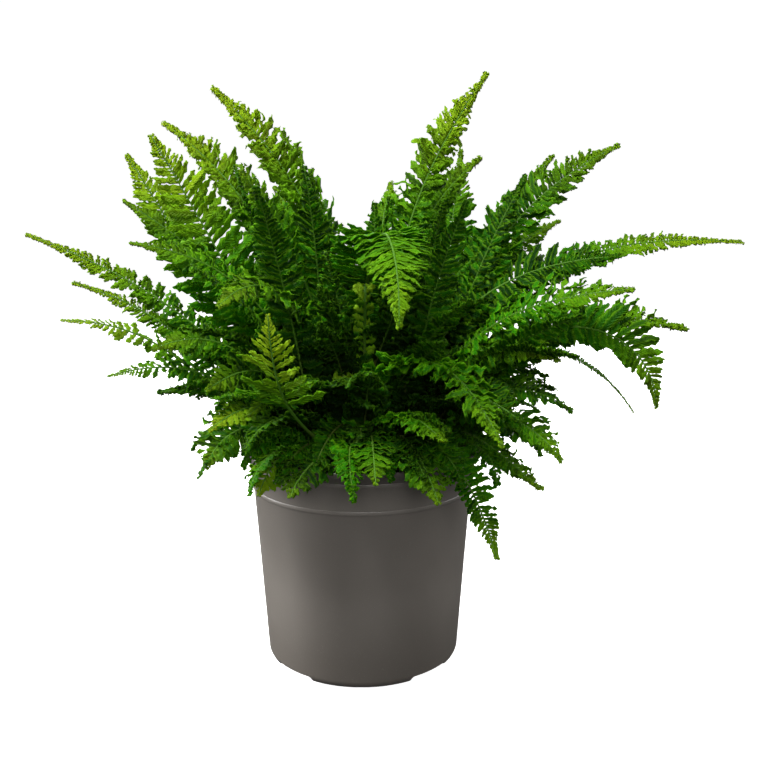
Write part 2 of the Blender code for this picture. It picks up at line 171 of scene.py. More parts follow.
def welded(bm: BMesh) -> BMesh:
    """Merges a bmesh's doubles and turns its faces outwards.

    Args:
        bm: the bmesh.

    Returns:
        The same bmesh.
    """
    bmesh.ops.remove_doubles(bm, verts=bm.verts, dist=WELD)
    bmesh.ops.recalc_face_normals(bm, faces=bm.faces)
    return bm


def finished(bm: BMesh, name: str) -> bpy.types.Mesh:
    """Writes a bmesh to a smooth-shaded mesh and frees it.

    Args:
        bm: the bmesh.
        name: the mesh's name.

    Returns:
        The new mesh.
    """
    mesh = bpy.data.meshes.new(name)
    bm.to_mesh(mesh)
    bm.free()
    mesh.shade_smooth()
    return mesh


def placed(name: str, data: bpy.types.ID) -> bpy.types.Object:
    """Adds an object at the origin.

    Args:
        name: the object's name.
        data: its mesh, curve, light or camera.

    Returns:
        The new object.
    """
    thing = bpy.data.objects.new(name, data)
    bpy.context.scene.collection.objects.link(thing)
    return thing


def evaluated_mesh(thing: bpy.types.Object) -> bpy.types.Mesh:
    """Makes a mesh of an object as its modifiers or bevel shape it, and removes the object.

    Args:
        thing: the object.

    Returns:
        The new mesh.
    """
    graph = bpy.context.evaluated_depsgraph_get()
    mesh = bpy.data.meshes.new_from_object(thing.evaluated_get(graph))
    bpy.data.objects.remove(thing)
    return mesh


def new_piece(
    name: str, mesh: bpy.types.Mesh, material: Material, slot: str, *nodes: str
) -> bpy.types.Object:
    """Adds a finished piece of the plant, riding on the body.

    Args:
        name: the piece's name.
        mesh: its mesh, in place.
        material: its finish.
        slot: the record's material slot that its finish belongs to; not used.
        *nodes: the CAD nodes that it stands for.

    Returns:
        The new object.
    """
    piece = placed(name, mesh)
    mesh.materials.clear()
    mesh.materials.append(material)
    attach(piece, BODY)
    if nodes:
        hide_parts(*nodes)
    return piece


# Finishes


@dataclass(frozen=True)
class Finish:
    """A surface's material, made of nodes. Its colours are sRGB.

    Attributes:
        name: what the surface is.
        roughness: how dull it is.
        relief: how strongly it stands up and down, and how far, in millimetres.
    """

    name: str
    roughness: float = 0.5
    relief: Pair = (0.0, 0.0)

    def build(self) -> Material:
        """Makes the material.

        Returns:
            The material, named after the finish.
        """
        material = bpy.data.materials.new(self.name)
        material.use_nodes = True
        tree = material.node_tree
        tree.nodes.clear()
        add(tree, "OutputMaterial", (self.surface(tree),))
        return material

    def surface(self, tree: NodeTree) -> Socket:
        """Adds the finish's own nodes to the tree and returns its shader."""
        raise NotImplementedError

    def skin(self, tree: NodeTree, colour: Socket, height: Socket, **looks: object) -> Socket:
        """Adds a coloured surface that stands up and down a little.

        Args:
            tree: the node tree.
            colour: its colour.
            height: its relief.
            **looks: the rest of its inputs, with _ for a space.

        Returns:
            The shader.
        """
        strength, depth = self.relief
        bump = {"Strength": strength, "Distance": depth * MM, "Height": height}
        inputs = {"Base Color": colour, "Roughness": self.roughness}
        inputs |= {name.replace("_", " "): value for name, value in looks.items()}
        inputs["Normal"] = add(tree, "Bump", bump)
        return add(tree, "BsdfPrincipled", inputs)


@dataclass(frozen=True)
class FernLeaf(Finish):
    """Living fern leaf: a thin green sheet with a waxy skin that lets light through.

    Attributes:
        painted_inner_shade: the near-black green of the painted shade deep inside the plant, which
            fades
        from inner_mm to outer_mm off the crown's foot.
        deep, bright: a dull and a lively leaflet's green.
        own, frond, mottle: how far a leaflet, its frond and the mottling set how lively it is.
        young: the yellow green of growing tips.
        margin, edged: a leaflet's edge, and the share of its colour.
        vein, veined: the midvein, and the share of its colour.
        veins: how many pairs of side veins a leaflet has.
        through, glow: the light that comes through, and its share.
        lit: how far a bright frond keeps its green against the painted shade inside the plant.
    """

    name: str = "living fern leaf"
    # The near-black green below paints the shade deep inside the plant.
    painted_inner_shade: str = "#031203"
    deep: str = "#042803"
    bright: str = "#2c7803"
    young: str = "#b4cc20"
    margin: str = "#6ca40c"
    vein: str = "#3e741a"
    through: str = "#80be06"
    relief: Pair = (0.6, 0.25)
    shine: float = 0.065
    glow: float = 0.24
    mottle_mm: float = 7.0
    inner_mm: float = 42.0
    outer_mm: float = 116.0
    veins: float = 9.0
    own: float = 0.55
    frond: float = 0.45
    mottle: float = 0.5
    edged: float = 0.48
    veined: float = 0.25
    lit: float = 0.95

    def surface(self, tree: NodeTree) -> Socket:
        """Adds the leaf's nodes.

        The "growth" attribute holds a leaflet's own tone, its youth, which rises towards the
        frond's tip, and its frond's tone. The UV map runs from the leaflet's foot to its tip in
        U, and across it in V.

        Args:
            tree: the material's node tree.

        Returns:
            The shader.
        """
        growth = add(tree, "Attribute", attribute_name="growth")
        tone, youth, frond = add(tree, "SeparateColor", (growth,)).node.outputs
        leaflet = add(tree, "UVMap", uv_map="leaflet")
        along, across, _ = add(tree, "SeparateXYZ", (leaflet,)).node.outputs
        off_vein = add(tree, "Math", (across, 0.5), operation="SUBTRACT")
        off_vein = add(tree, "Math", (off_vein,), operation="ABSOLUTE")
        coords = add(tree, "TexCoord", output="Object")
        inputs = {"Vector": coords, "Scale": 1 / (self.mottle_mm * MM), "Detail": 2.0}
        mottle = add(tree, "TexNoise", inputs)

        # Each frond and leaflet differs a little, and the mottling runs across them. A frond's
        # tone also holds painted light for bright fronds and painted shade for shaded ones.
        shade = add(tree, "Math", (frond, self.frond), operation="MULTIPLY")
        shade = add(tree, "Math", (tone, self.own, shade), operation="MULTIPLY_ADD")
        shade = add(tree, "Math", (shade, self.mottle / 2), operation="SUBTRACT")
        shade = add(tree, "Math", (mottle, self.mottle, shade), operation="MULTIPLY_ADD")
        shade = add(tree, "MapRange", (shade, 0.15, 0.82), **EASED)
        fresh = add(tree, "MapRange", (youth, 0.42, 1.15), **EASED)
        edge = add(tree, "MapRange", (off_vein, 0.12, 0.50), **EASED)
        edge = add(tree, "Math", (edge, self.edged), operation="MULTIPLY")
        midvein = add(tree, "MapRange", (off_vein, 0.0, 0.06), **EASED)
        midvein = add(tree, "Math", (1.0, midvein), operation="SUBTRACT")
        vein = add(tree, "Math", (midvein, self.veined), operation="MULTIPLY")
        # Painted shade: leaflets deep inside the plant darken towards near black, bright fronds
        # less.
        inputs = (coords, (0.0, 0.0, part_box("crown")[0].z))
        away = add(tree, "VectorMath", inputs, "Value", operation="DISTANCE")
        inside = add(tree, "MapRange", (away, self.outer_mm * MM, self.inner_mm * MM), **EASED)
        kept = add(tree, "Math", (frond, -self.lit, 1.0), operation="MULTIPLY_ADD")
        painted_shade_share = add(tree, "Math", (inside, kept), operation="MULTIPLY", use_clamp=True)
        colour = self.deep
        layers = ((shade, self.bright), (fresh, self.young), (edge, self.margin))
        # The last layer is the painted shade deep inside the plant.
        for share, over in (*layers, (vein, self.vein), (painted_shade_share, self.painted_inner_shade)):
            colour = add(tree, "Mix", {0: share, 6: colour, 7: over}, **COLOURS)

        # Side veins run slantwise from the midvein to the margin and stand up a little.
        slant = add(tree, "Math", (off_vein, -0.35, along), operation="MULTIPLY_ADD")
        slant = add(tree, "Math", (slant, math.tau * self.veins), operation="MULTIPLY")
        wave = add(tree, "Math", (slant,), operation="SINE")
        height = add(tree, "Math", (midvein, -1.5, wave), operation="MULTIPLY_ADD")
        skin = self.skin(tree, colour, height, IOR=1.45, Specular_IOR_Level=self.shine)
        normal = skin.node.inputs["Normal"].links[0].from_socket
        light = add(tree, "Mix", {0: 0.5, 6: colour, 7: self.through}, **COLOURS)
        sheet = add(tree, "BsdfTranslucent", {"Color": light, "Normal": normal})
        return add(tree, "MixShader", (self.glow, skin, sheet))


@dataclass(frozen=True)
class FernStalk(Finish):
    """Living fern stalk: a green stem, brown and scaly up to foot_mm off the crown's foot."""

    name: str = "living fern stalk"
    foot: str = "#3a2a14"
    stem: str = "#4d5c22"
    upper: str = "#426c18"
    foot_mm: float = 34.0
    upper_mm: float = 80.0
    fleck_mm: float = 3.0
    roughness: float = 0.6
    relief: Pair = (0.4, 0.2)
    shine: float = 0.15

    def surface(self, tree: NodeTree) -> Socket:
        """Adds the stalk's nodes.

        Args:
            tree: the material's node tree.

        Returns:
            The shader.
        """
        coords = add(tree, "TexCoord", output="Object")
        inputs = (coords, (0.0, 0.0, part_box("crown")[0].z))
        away = add(tree, "VectorMath", inputs, "Value", operation="DISTANCE")
        inputs = {"Vector": coords, "Scale": 1 / (self.fleck_mm * MM), "Detail": 3.0}
        flecks = add(tree, "TexNoise", inputs)
        reach = add(tree, "Math", (flecks, 14 * MM, away), operation="MULTIPLY_ADD")
        colour = self.foot
        foot = self.foot_mm
        lower = (reach, foot + 4, foot + 18, self.stem)
        upper = (away, foot + 14, self.upper_mm, self.upper)
        for value, low, high, over in (lower, upper):
            share = add(tree, "MapRange", (value, low * MM, high * MM), **EASED)
            colour = add(tree, "Mix", {0: share, 6: colour, 7: over}, **COLOURS)
        return self.skin(tree, colour, flecks, Specular_IOR_Level=self.shine)


@dataclass(frozen=True)
class MouldedPolypropylene(Finish):
    """Injection-moulded polypropylene, taupe: satin, with a fine spark-eroded grain.

    It has faint flow clouds and dust in its grain, and painted shade darkens it from its foot up
    to painted_foot_shade_mm.
    """

    name: str = "moulded polypropylene"
    body: str = "#6a655f"
    pale: str = "#726d67"
    dust: str = "#8d8880"
    # Painted shade: the darker colour towards the pot's foot.
    painted_foot_shade: str = "#58534d"
    roughness: float = 0.42
    gloss_change: float = 0.14
    relief: Pair = (0.22, 0.08)
    grain_mm: float = 0.55
    cloud_mm: float = 22.0
    painted_foot_shade_mm: float = 45.0

    def surface(self, tree: NodeTree) -> Socket:
        """Adds the plastic's nodes.

        Args:
            tree: the material's node tree.

        Returns:
            The shader.
        """
        coords = add(tree, "TexCoord", output="Object")
        inputs = {"Vector": coords, "Scale": 1 / (self.cloud_mm * MM), "Detail": 3.0}
        clouds = add(tree, "TexNoise", inputs)
        # The grain on the real pot is about 0.1 mm; it is drawn coarser so that it shows.
        inputs = {"Vector": coords, "Scale": 1 / (self.grain_mm * MM), "Detail": 1.0}
        grain = add(tree, "TexNoise", inputs)
        up = add(tree, "SeparateXYZ", (coords,), "Z")
        # Painted shade: the colour darkens towards the foot, up to painted_foot_shade_mm.
        low = add(tree, "MapRange", (up, self.painted_foot_shade_mm * MM, 0.0), **EASED)
        low = add(tree, "Math", (low, 0.8), operation="MULTIPLY")
        specks = add(tree, "MapRange", (grain, 0.66, 0.78), **EASED)
        specks = add(tree, "Math", (specks, 0.25), operation="MULTIPLY")
        colour = self.body
        for share, over in ((clouds, self.pale), (low, self.painted_foot_shade), (specks, self.dust)):
            colour = add(tree, "Mix", {0: share, 6: colour, 7: over}, **COLOURS)
        least = self.roughness - self.gloss_change / 2
        rough = add(tree, "Math", (clouds, self.gloss_change, least), operation="MULTIPLY_ADD")
        return self.skin(tree, colour, grain, Roughness=rough, IOR=1.49)


@dataclass(frozen=True)
class PeatMix(Finish):
    """Moist peat potting mix: near black, fibrous and dull, with paler bits of bark."""

    name: str = "moist peat mix"
    wet: str = "#120c08"
    crumb: str = "#2e2117"
    bark: str = "#5a4028"
    crumb_mm: float = 2.2
    bark_mm: float = 3.5
    roughness: float = 0.92
    relief: Pair = (0.9, 0.8)

    def surface(self, tree: NodeTree) -> Socket:
        """Adds the mix's nodes.

        Args:
            tree: the material's node tree.

        Returns:
            The shader.
        """
        coords = add(tree, "TexCoord", output="Object")
        inputs = {"Vector": coords, "Scale": 1 / (self.crumb_mm * MM), "Detail": 4.0}
        crumbs = add(tree, "TexNoise", inputs)
        inputs = {"Vector": coords, "Scale": 1 / (self.bark_mm * MM), "Randomness": 1.0}
        cells = add(tree, "TexVoronoi", inputs, "Color")
        bits = add(tree, "MapRange", (add(tree, "SeparateColor", (cells,)), 0.86, 0.92), **EASED)
        bits = add(tree, "Math", (bits, 0.7), operation="MULTIPLY")
        colour = add(tree, "Mix", {0: crumbs, 6: self.wet, 7: self.crumb}, **COLOURS)
        colour = add(tree, "Mix", {0: bits, 6: colour, 7: self.bark}, **COLOURS)
        return self.skin(tree, colour, crumbs)


@dataclass(frozen=True)
class ScalyRootstock(Finish):
    """Fern rootstock: brown chaffy scales over old stalk bases, dull and fibrous."""

    name: str = "scaly rootstock"
    dark: str = "#1d140b"
    scale: str = "#4f3819"
    fibre_mm: float = 1.6
    roughness: float = 0.85
    relief: Pair = (0.8, 0.5)

    def surface(self, tree: NodeTree) -> Socket:
        """Adds the rootstock's nodes, whose fibres run upwards.

        Args:
            tree: the material's node tree.

        Returns:
            The shader.
        """
        coords = add(tree, "TexCoord", output="Object")
        stretched = add(tree, "Mapping", {0: coords, "Scale": (1.0, 1.0, 0.3)})
        inputs = {"Vector": stretched, "Scale": 1 / (self.fibre_mm * MM), "Detail": 4.0}
        fibres = add(tree, "TexNoise", inputs)
        share = add(tree, "MapRange", (fibres, 0.35, 0.7), **EASED)
        colour = add(tree, "Mix", {0: share, 6: self.dark, 7: self.scale}, **COLOURS)
        return self.skin(tree, colour, fibres)


@dataclass(frozen=True)
class MattPaper(Finish):
    """Matt white paper, lit to white for the camera."""

    name: str = "matt white paper"
    colour: str = "#f2f2f0"
    roughness: float = 0.9
    glow: float = 0.92

    def surface(self, tree: NodeTree) -> Socket:
        """Adds the paper's only node and returns its shader."""
        inputs = {"Base Color": self.colour, "Roughness": self.roughness}
        inputs |= {"Specular IOR Level": 0.0}
        inputs |= {"Emission Color": "#ffffff", "Emission Strength": self.glow}
        return add(tree, "BsdfPrincipled", inputs)


# A frond's midrib


@dataclass
class Midrib:
    """A frond's centre line from its foot to its tip, and the way its blade faces.

    Attributes:
        centres: (n, 3) points along the midrib.
        sides: (n, 3) directions across the blade.
        tops: (n, 3) directions out of the blade's upper face.
        widths: (n,) half-widths of the blade.
    """

    centres: Array
    sides: Array
    tops: Array
    widths: Array

    @classmethod
    def rings_of(cls, node: str, corners: int) -> list[Array]:
        """Reads a node's sections, from its foot to its tip.

        Args:
            node: a CAD node made of sections joined one to the next.
            corners: how many points each section has.

        Returns:
            One (corners, 3) array for each section.
        """
        bm = bmesh.new()
        bm.from_mesh(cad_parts[node].data)
        bmesh.ops.remove_doubles(bm, verts=bm.verts, dist=WELD)
        low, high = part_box("crown")
        middle = Vector((0.0, 0.0, (low.z + high.z) / 2))
        foot = min(bm.verts, key=lambda vert: (vert.co - middle).length)
        ring = sorted(bm.verts, key=lambda vert: (vert.co - foot.co).length)[:corners]
        seen, rings = set(ring), []
        while ring:
            rings.append(np.array([vert.co[:] for vert in ring]))
            ring = [edge.other_vert(vert) for vert in ring for edge in vert.link_edges]
            ring = list(dict.fromkeys(vert for vert in ring if vert not in seen))
            seen.update(ring)
        bm.free()
        return rings

    @classmethod
    def of_frond(cls, node: str) -> "Midrib":
        """Reads a frond's midrib from its solid, whose sections are slim kites.

        Each kite has two edges, a ridge on top and a keel below. The edges are the pair that is
        farthest apart along the direction of the last section's edges, starting at the widest.

        Args:
            node: the frond's CAD node.

        Returns:
            The midrib.
        """
        rings = cls.rings_of(node, 4)
        spans = [np.linalg.norm(ring[:, None] - ring[None], axis=-1).max() for ring in rings]
        widest = int(np.argmax(spans))
        count = len(rings)
        centres, across, tops = (np.zeros((count, 3)) for _ in range(3))
        widths = np.zeros(count)
        pairs = [(0, 1), (0, 2), (0, 3), (1, 2), (1, 3), (2, 3)]
        outwards = [*range(widest, count), *range(widest - 1, -1, -1)]
        for index in outwards:
            ring = rings[index]
            before = index + 1 if index < widest else index - 1
            gaps = np.array([ring[b] - ring[a] for a, b in pairs])
            if index == widest:
                left, right = pairs[int(np.argmax(np.linalg.norm(gaps, axis=1)))]
            else:
                left, right = pairs[int(np.argmax(np.abs(gaps @ across[before])))]
            others = [corner for corner in range(4) if corner not in (left, right)]
            centres[index] = ring[others].mean(axis=0)
            across[index] = unit(ring[right] - ring[left])
            widths[index] = np.linalg.norm(ring[right] - ring[left]) / 2
            rise = centres[index] - (ring[left] + ring[right]) / 2
            tops[index] = rise if index == widest else tops[before]
        tangents = unit(np.gradient(centres, axis=0))
        for index in range(count):
            normal = np.cross(tangents[index], across[index])
            tops[index] = unit(normal * (1.0 if normal @ tops[widest] > 0 else -1.0))
        for index in outwards[1:]:
            before = index - 1 if index > widest else index + 1
            if tops[index] @ tops[before] < 0:
                tops[index] = -tops[index]
        return cls(centres, np.cross(tops, tangents), tops, widths)

    @classmethod
    def of_crosier(cls, node: str, half_width: float) -> "Midrib":
        """Reads a crosier's midrib from its solid, a tube that coils in one plane.

        Args:
            node: the crosier's CAD node.
            half_width: the half-width of its folded leaflets, in metres.

        Returns:
            The midrib, whose sides stand out of the coil's plane.
        """
        centres = np.array([ring.mean(axis=0) for ring in cls.rings_of(node, 6)])
        plane = np.linalg.svd(centres - centres.mean(axis=0))[2][2]
        tangents = unit(np.gradient(centres, axis=0))
        sides = np.broadcast_to(plane, centres.shape)
        shares = np.linspace(0.0, 1.0, len(centres))
        widths = half_width * (0.6 + 0.4 * smooth(shares / 0.35)) * (1.0 - 0.6 * shares**2)
        return cls(centres, sides, unit(np.cross(tangents, sides)), widths)

    @classmethod
    def of_bezier(cls, corners: list[Array], half_width: float, roll: float) -> "Midrib":
        """Makes a midrib along a cubic Bezier curve.

        Args:
            corners: the curve's four control points.
            half_width: the blade's greatest half-width, in metres.
            roll: how far the blade has turned about its midrib by the tip, in radians.

        Returns:
            The midrib.
        """
        t = np.linspace(0.0, 1.0, 13)[:, None]
        first, second, third, last = corners
        centres = (1 - t) ** 3 * first + 3 * (1 - t) ** 2 * t * second
        centres = centres + 3 * (1 - t) * t**2 * third + t**3 * last
        tangents = unit(np.gradient(centres, axis=0))
        sides = unit(np.cross(tangents, UP) + np.array([1e-6, 0.0, 0.0]))
        tops = np.cross(sides, tangents)
        turn = roll * t
        tops = tops * np.cos(turn) - sides * np.sin(turn)
        shares = t[:, 0]
        widths = half_width * (0.3 + 0.7 * smooth(shares / 0.25)) * (1.0 - shares) ** 0.6
        return cls(centres, np.cross(tops, tangents), tops, np.maximum(widths, 0.8 * MM))

    def refined(self, factor: int) -> "Midrib":
        """Returns the midrib with more points, on smooth curves through its own."""
        rows = np.hstack([self.centres, self.sides, self.tops, self.widths[:, None]])
        finer = self.through(rows, factor)
        return Midrib(finer[:, 0:3], finer[:, 3:6], finer[:, 6:9], finer[:, 9])

    @staticmethod
    def through(values: Array, factor: int) -> Array:
        """Puts a Catmull-Rom curve through rows of values.

        Args:
            values: (n, k) rows.
            factor: how many steps replace each of the rows' own.

        Returns:
            (factor * (n - 1) + 1, k) rows.
        """
        padded = np.vstack([2 * values[0] - values[1], values, 2 * values[-1] - values[-2]])
        spots = np.linspace(0.0, len(values) - 1.0, factor * (len(values) - 1) + 1)
        index = np.minimum(spots.astype(int), len(values) - 2)
        t = (spots - index)[:, None]
        a, b, c, d = (padded[index + shift] for shift in range(4))
        square, cube = 2 * a - 5 * b + 4 * c - d, 3 * b - a - 3 * c + d
        return 0.5 * (2 * b + (c - a) * t + square * t**2 + cube * t**3)

    def distances(self) -> Array:
        """Returns how far each point is from the foot along the midrib."""
        steps = np.linalg.norm(np.diff(self.centres, axis=0), axis=1)
        return np.concatenate([[0.0], np.cumsum(steps)])

    def at(self, spots: Array) -> tuple[Array, Array, Array, Array, Array]:
        """Reads the midrib at distances along it.

        Args:
            spots: (m,) distances from the foot.

        Returns:
            Centres, tangents, sides, tops and half-widths.
        """
        along = self.distances()
        tangents = unit(np.gradient(self.centres, axis=0))
        rows = np.hstack([self.centres, tangents, self.sides, self.tops, self.widths[:, None]])
        read = np.stack([np.interp(spots, along, column) for column in rows.T], axis=1)
        centres, tangents, sides = read[:, 0:3], unit(read[:, 3:6]), read[:, 6:9]
        sides = unit(sides - (sides * tangents).sum(1, keepdims=True) * tangents)
        tops = np.cross(tangents, sides)
        return centres, tangents, sides, tops, read[:, 12]


# Leaflets


class Sheet(Enum):
    """How finely a leaflet's sheet is divided, along it and across it."""

    FULL = (8, 4)
    HALF = (6, 2)
    SMALL = (5, 2)

    @property
    def template(self) -> bpy.types.Mesh:
        """The flat sheet's mesh, made on first use, with its UV map."""
        name = f"leaflet_{self.name.lower()}"
        found = bpy.data.meshes.get(name)
        if found:
            return found
        bm = bmesh.new()
        bm.loops.layers.uv.new("leaflet")
        along, across = self.value
        bmesh.ops.create_grid(bm, x_segments=along, y_segments=across, size=0.5, calc_uvs=True)
        return finished(bm, name)

    def corners(self) -> tuple[Array, Array]:
        """Returns each point's share of the way along, and its place across from -1 to 1."""
        flat = np.array([vert.co[:2] for vert in self.template.vertices])
        return flat[:, 0] + 0.5, flat[:, 1] * 2.0


@dataclass(frozen=True)
class Habit:
    """How a frond carries its leaflets.

    Attributes:
        fronds: the numbers of the CAD fronds that have it.
        pitch: the spacing along the rachis as a share of the leaflets' length.
        overlap: a leaflet's width as a share of the spacing.
        sweep: how far the leaflets lean towards the frond's tip, at its foot and tip, in degrees.
        lift: how far they rise out of the blade, as a slope.
        louvre: how far they turn about their own midveins, in degrees.
        scatter: how much those turns differ, in degrees.
        ruffle: the height of the margin's waves as a share of the leaflet's width.
        curl: how far the tips bend down, as a share of the leaflet's length.
        point: how squarely the outline ends; low values taper.
        lobes: the depth of the margin's lobes as a share of the half-width.
        thinning: the share of leaflets that are stunted.
        upper: how much longer the leaflets on the blade's upper side are, as a share.
        fullness: how much longer they stay towards the tip than the solid's blade is wide.
        spread: how much longer they are than it everywhere, as a factor.
        bare: the share of the midrib, from the foot, that carries no leaflets.
    """

    fronds: tuple[int, ...] = ()
    pitch: float = 0.24
    overlap: float = 1.35
    sweep: Pair = (4.0, 36.0)
    lift: float = 0.08
    louvre: float = 20.0
    scatter: float = 22.0
    ruffle: float = 0.28
    curl: float = 0.16
    point: float = 5.0
    lobes: float = 0.24
    thinning: float = 0.03
    upper: float = 0.0
    fullness: float = 0.25
    spread: float = 1.0
    bare: float = 0.05


PLAIN = Habit()
LUSH = Habit(ruffle=0.42, scatter=28.0, curl=0.22)
CROWDED = replace(LUSH, pitch=0.26, overlap=1.4)
FOLDED = Habit(
    pitch=0.78, overlap=0.85, sweep=(8.0, 50.0), lift=0.3, curl=0.3, fullness=0.0, bare=0.34
)


class Kind(Enum):
    """The habits of the fronds that aren't plain: their fronds, spacing, overlap and the rest."""

    BROAD = replace(
        LUSH,
        fronds=(3, 10, 18, 21, 34, 35, 36, 41, 43, 46, 48, 49, 50, 51, 52),
        pitch=0.17,
        overlap=1.6,
        upper=0.4,
    )
    DROOPING = replace(
        LUSH, fronds=(5, 26, 27, 28, 29, 37, 38), pitch=0.2, overlap=1.5, upper=0.4, spread=1.35
    )
    OPEN = Habit(
        (7, 16, 30), 0.22, 1.25, scatter=18, ruffle=0.32, louvre=12, fullness=0.4, spread=1.2
    )
    SPARSE = Habit((12, 24), 0.44, 0.85, scatter=14, ruffle=0.24, louvre=12)
    SPRIG = Habit(
        (4,), 0.25, 0.8, (8, 40), scatter=10, ruffle=0.3, lobes=0.3, fullness=0.1, spread=1.45,
        bare=0.56,
    )
    RUFFLED = Habit(
        (8, 9, 13, 17, 19, 20, 22), 0.2, 1.9, lift=0.15, louvre=30, scatter=36, ruffle=0.45,
        curl=0.35, upper=0.8,
    )
    HANGING = Habit(
        (14, 23), 0.28, 1.3, louvre=10, scatter=16, ruffle=0.26, fullness=0.3, upper=0.5
    )
    THIN = Habit((15,), 0.5, 0.9, louvre=10, scatter=16, ruffle=0.16, fullness=-0.3)
    IRREGULAR = Habit(
        (1, 6, 11), ruffle=0.36, scatter=34, thinning=0.10, upper=-0.1, fullness=0.05
    )
    FEATHERED = Habit((2,), 0.10, 1.4, ruffle=0.3, scatter=16, louvre=26, fullness=0)

    @classmethod
    def of(cls, number: int) -> Habit:
        """Returns how the frond of this number carries its leaflets."""
        return next((kind.value for kind in cls if number in kind.value.fronds), PLAIN)


@dataclass
class Leaflets:
    """The leaflets of one piece: a row for each, in every array."""

    root: Array
    along: Array
    across: Array
    up: Array
    length: Array
    width: Array
    curl: Array
    twist: Array
    ruffle: Array
    waves: Array
    phases: Array
    bend: Array
    point: Array
    lobes: Array
    growth: Array

    def take(self, chosen: Array) -> "Leaflets":
        """Returns the chosen leaflets."""
        return Leaflets(*(values[chosen] for values in vars(self).values()))

    @staticmethod
    def joined(several: list["Leaflets"]) -> "Leaflets":
        """Returns all the leaflets of several sets, in order."""
        columns = zip(*(vars(leaflets).values() for leaflets in several))
        return Leaflets(*(np.concatenate(values) for values in columns))

    def shaped(self, sheet: Sheet) -> Array:
        """Bends the flat sheet into each leaflet.

        The outline is oblong with a narrow foot, an ear on its upper side, and a lobed margin.
        The sheet folds a little along its midvein, its margins wave, its tip bends down, and the
        whole leaflet turns about its midvein.

        Args:
            sheet: how finely the leaflets are divided.

        Returns:
            (leaflets, points, 3) places.
        """
        u, v = sheet.corners()
        steps = sheet.value[0]
        column = np.rint(u * steps)
        u = u * (1.35 - 0.35 * u)
        inner = (column > 0) & (column < steps)
        lobe = np.where(inner, (-1.0) ** column, 0.0)

        def row(values: Array) -> Array:
            """Returns one value for each leaflet as a column."""
            return values[:, None]

        outline = np.maximum(1.0 - u ** row(self.point), 0.08) ** 0.5 * (0.78 + 0.34 * u)
        foot = 0.62 + 0.38 * smooth(u / 0.22)
        ear = 0.30 * np.exp(-(((u - 0.12) / 0.09) ** 2)) * (v > 0)
        margin = 1.0 + row(self.lobes) * lobe * np.abs(v) ** 3
        half = row(self.width) / 2 * outline * (foot + ear) * margin
        x = row(self.length) * u * (1.0 - 0.35 * row(self.curl) ** 2 * u)
        y = v * half + row(self.bend) * row(self.length) * u**2

        phase = np.where(v > 0, row(self.phases[:, 0]), row(self.phases[:, 1]))
        wave = np.sin(math.tau * row(self.waves) * u + phase) * smooth(u / 0.12)
        z = row(self.ruffle * self.width) * np.abs(v) ** 1.5 * wave
        z = z - 0.14 * np.abs(v) * half - row(self.curl) * row(self.length) * u**2

        turn = row(self.twist) * (0.55 + 0.45 * u)
        y, z = y * np.cos(turn) - z * np.sin(turn), y * np.sin(turn) + z * np.cos(turn)
        places = self.root[:, None] + x[..., None] * self.along[:, None]
        return places + y[..., None] * self.across[:, None] + z[..., None] * self.up[:, None]


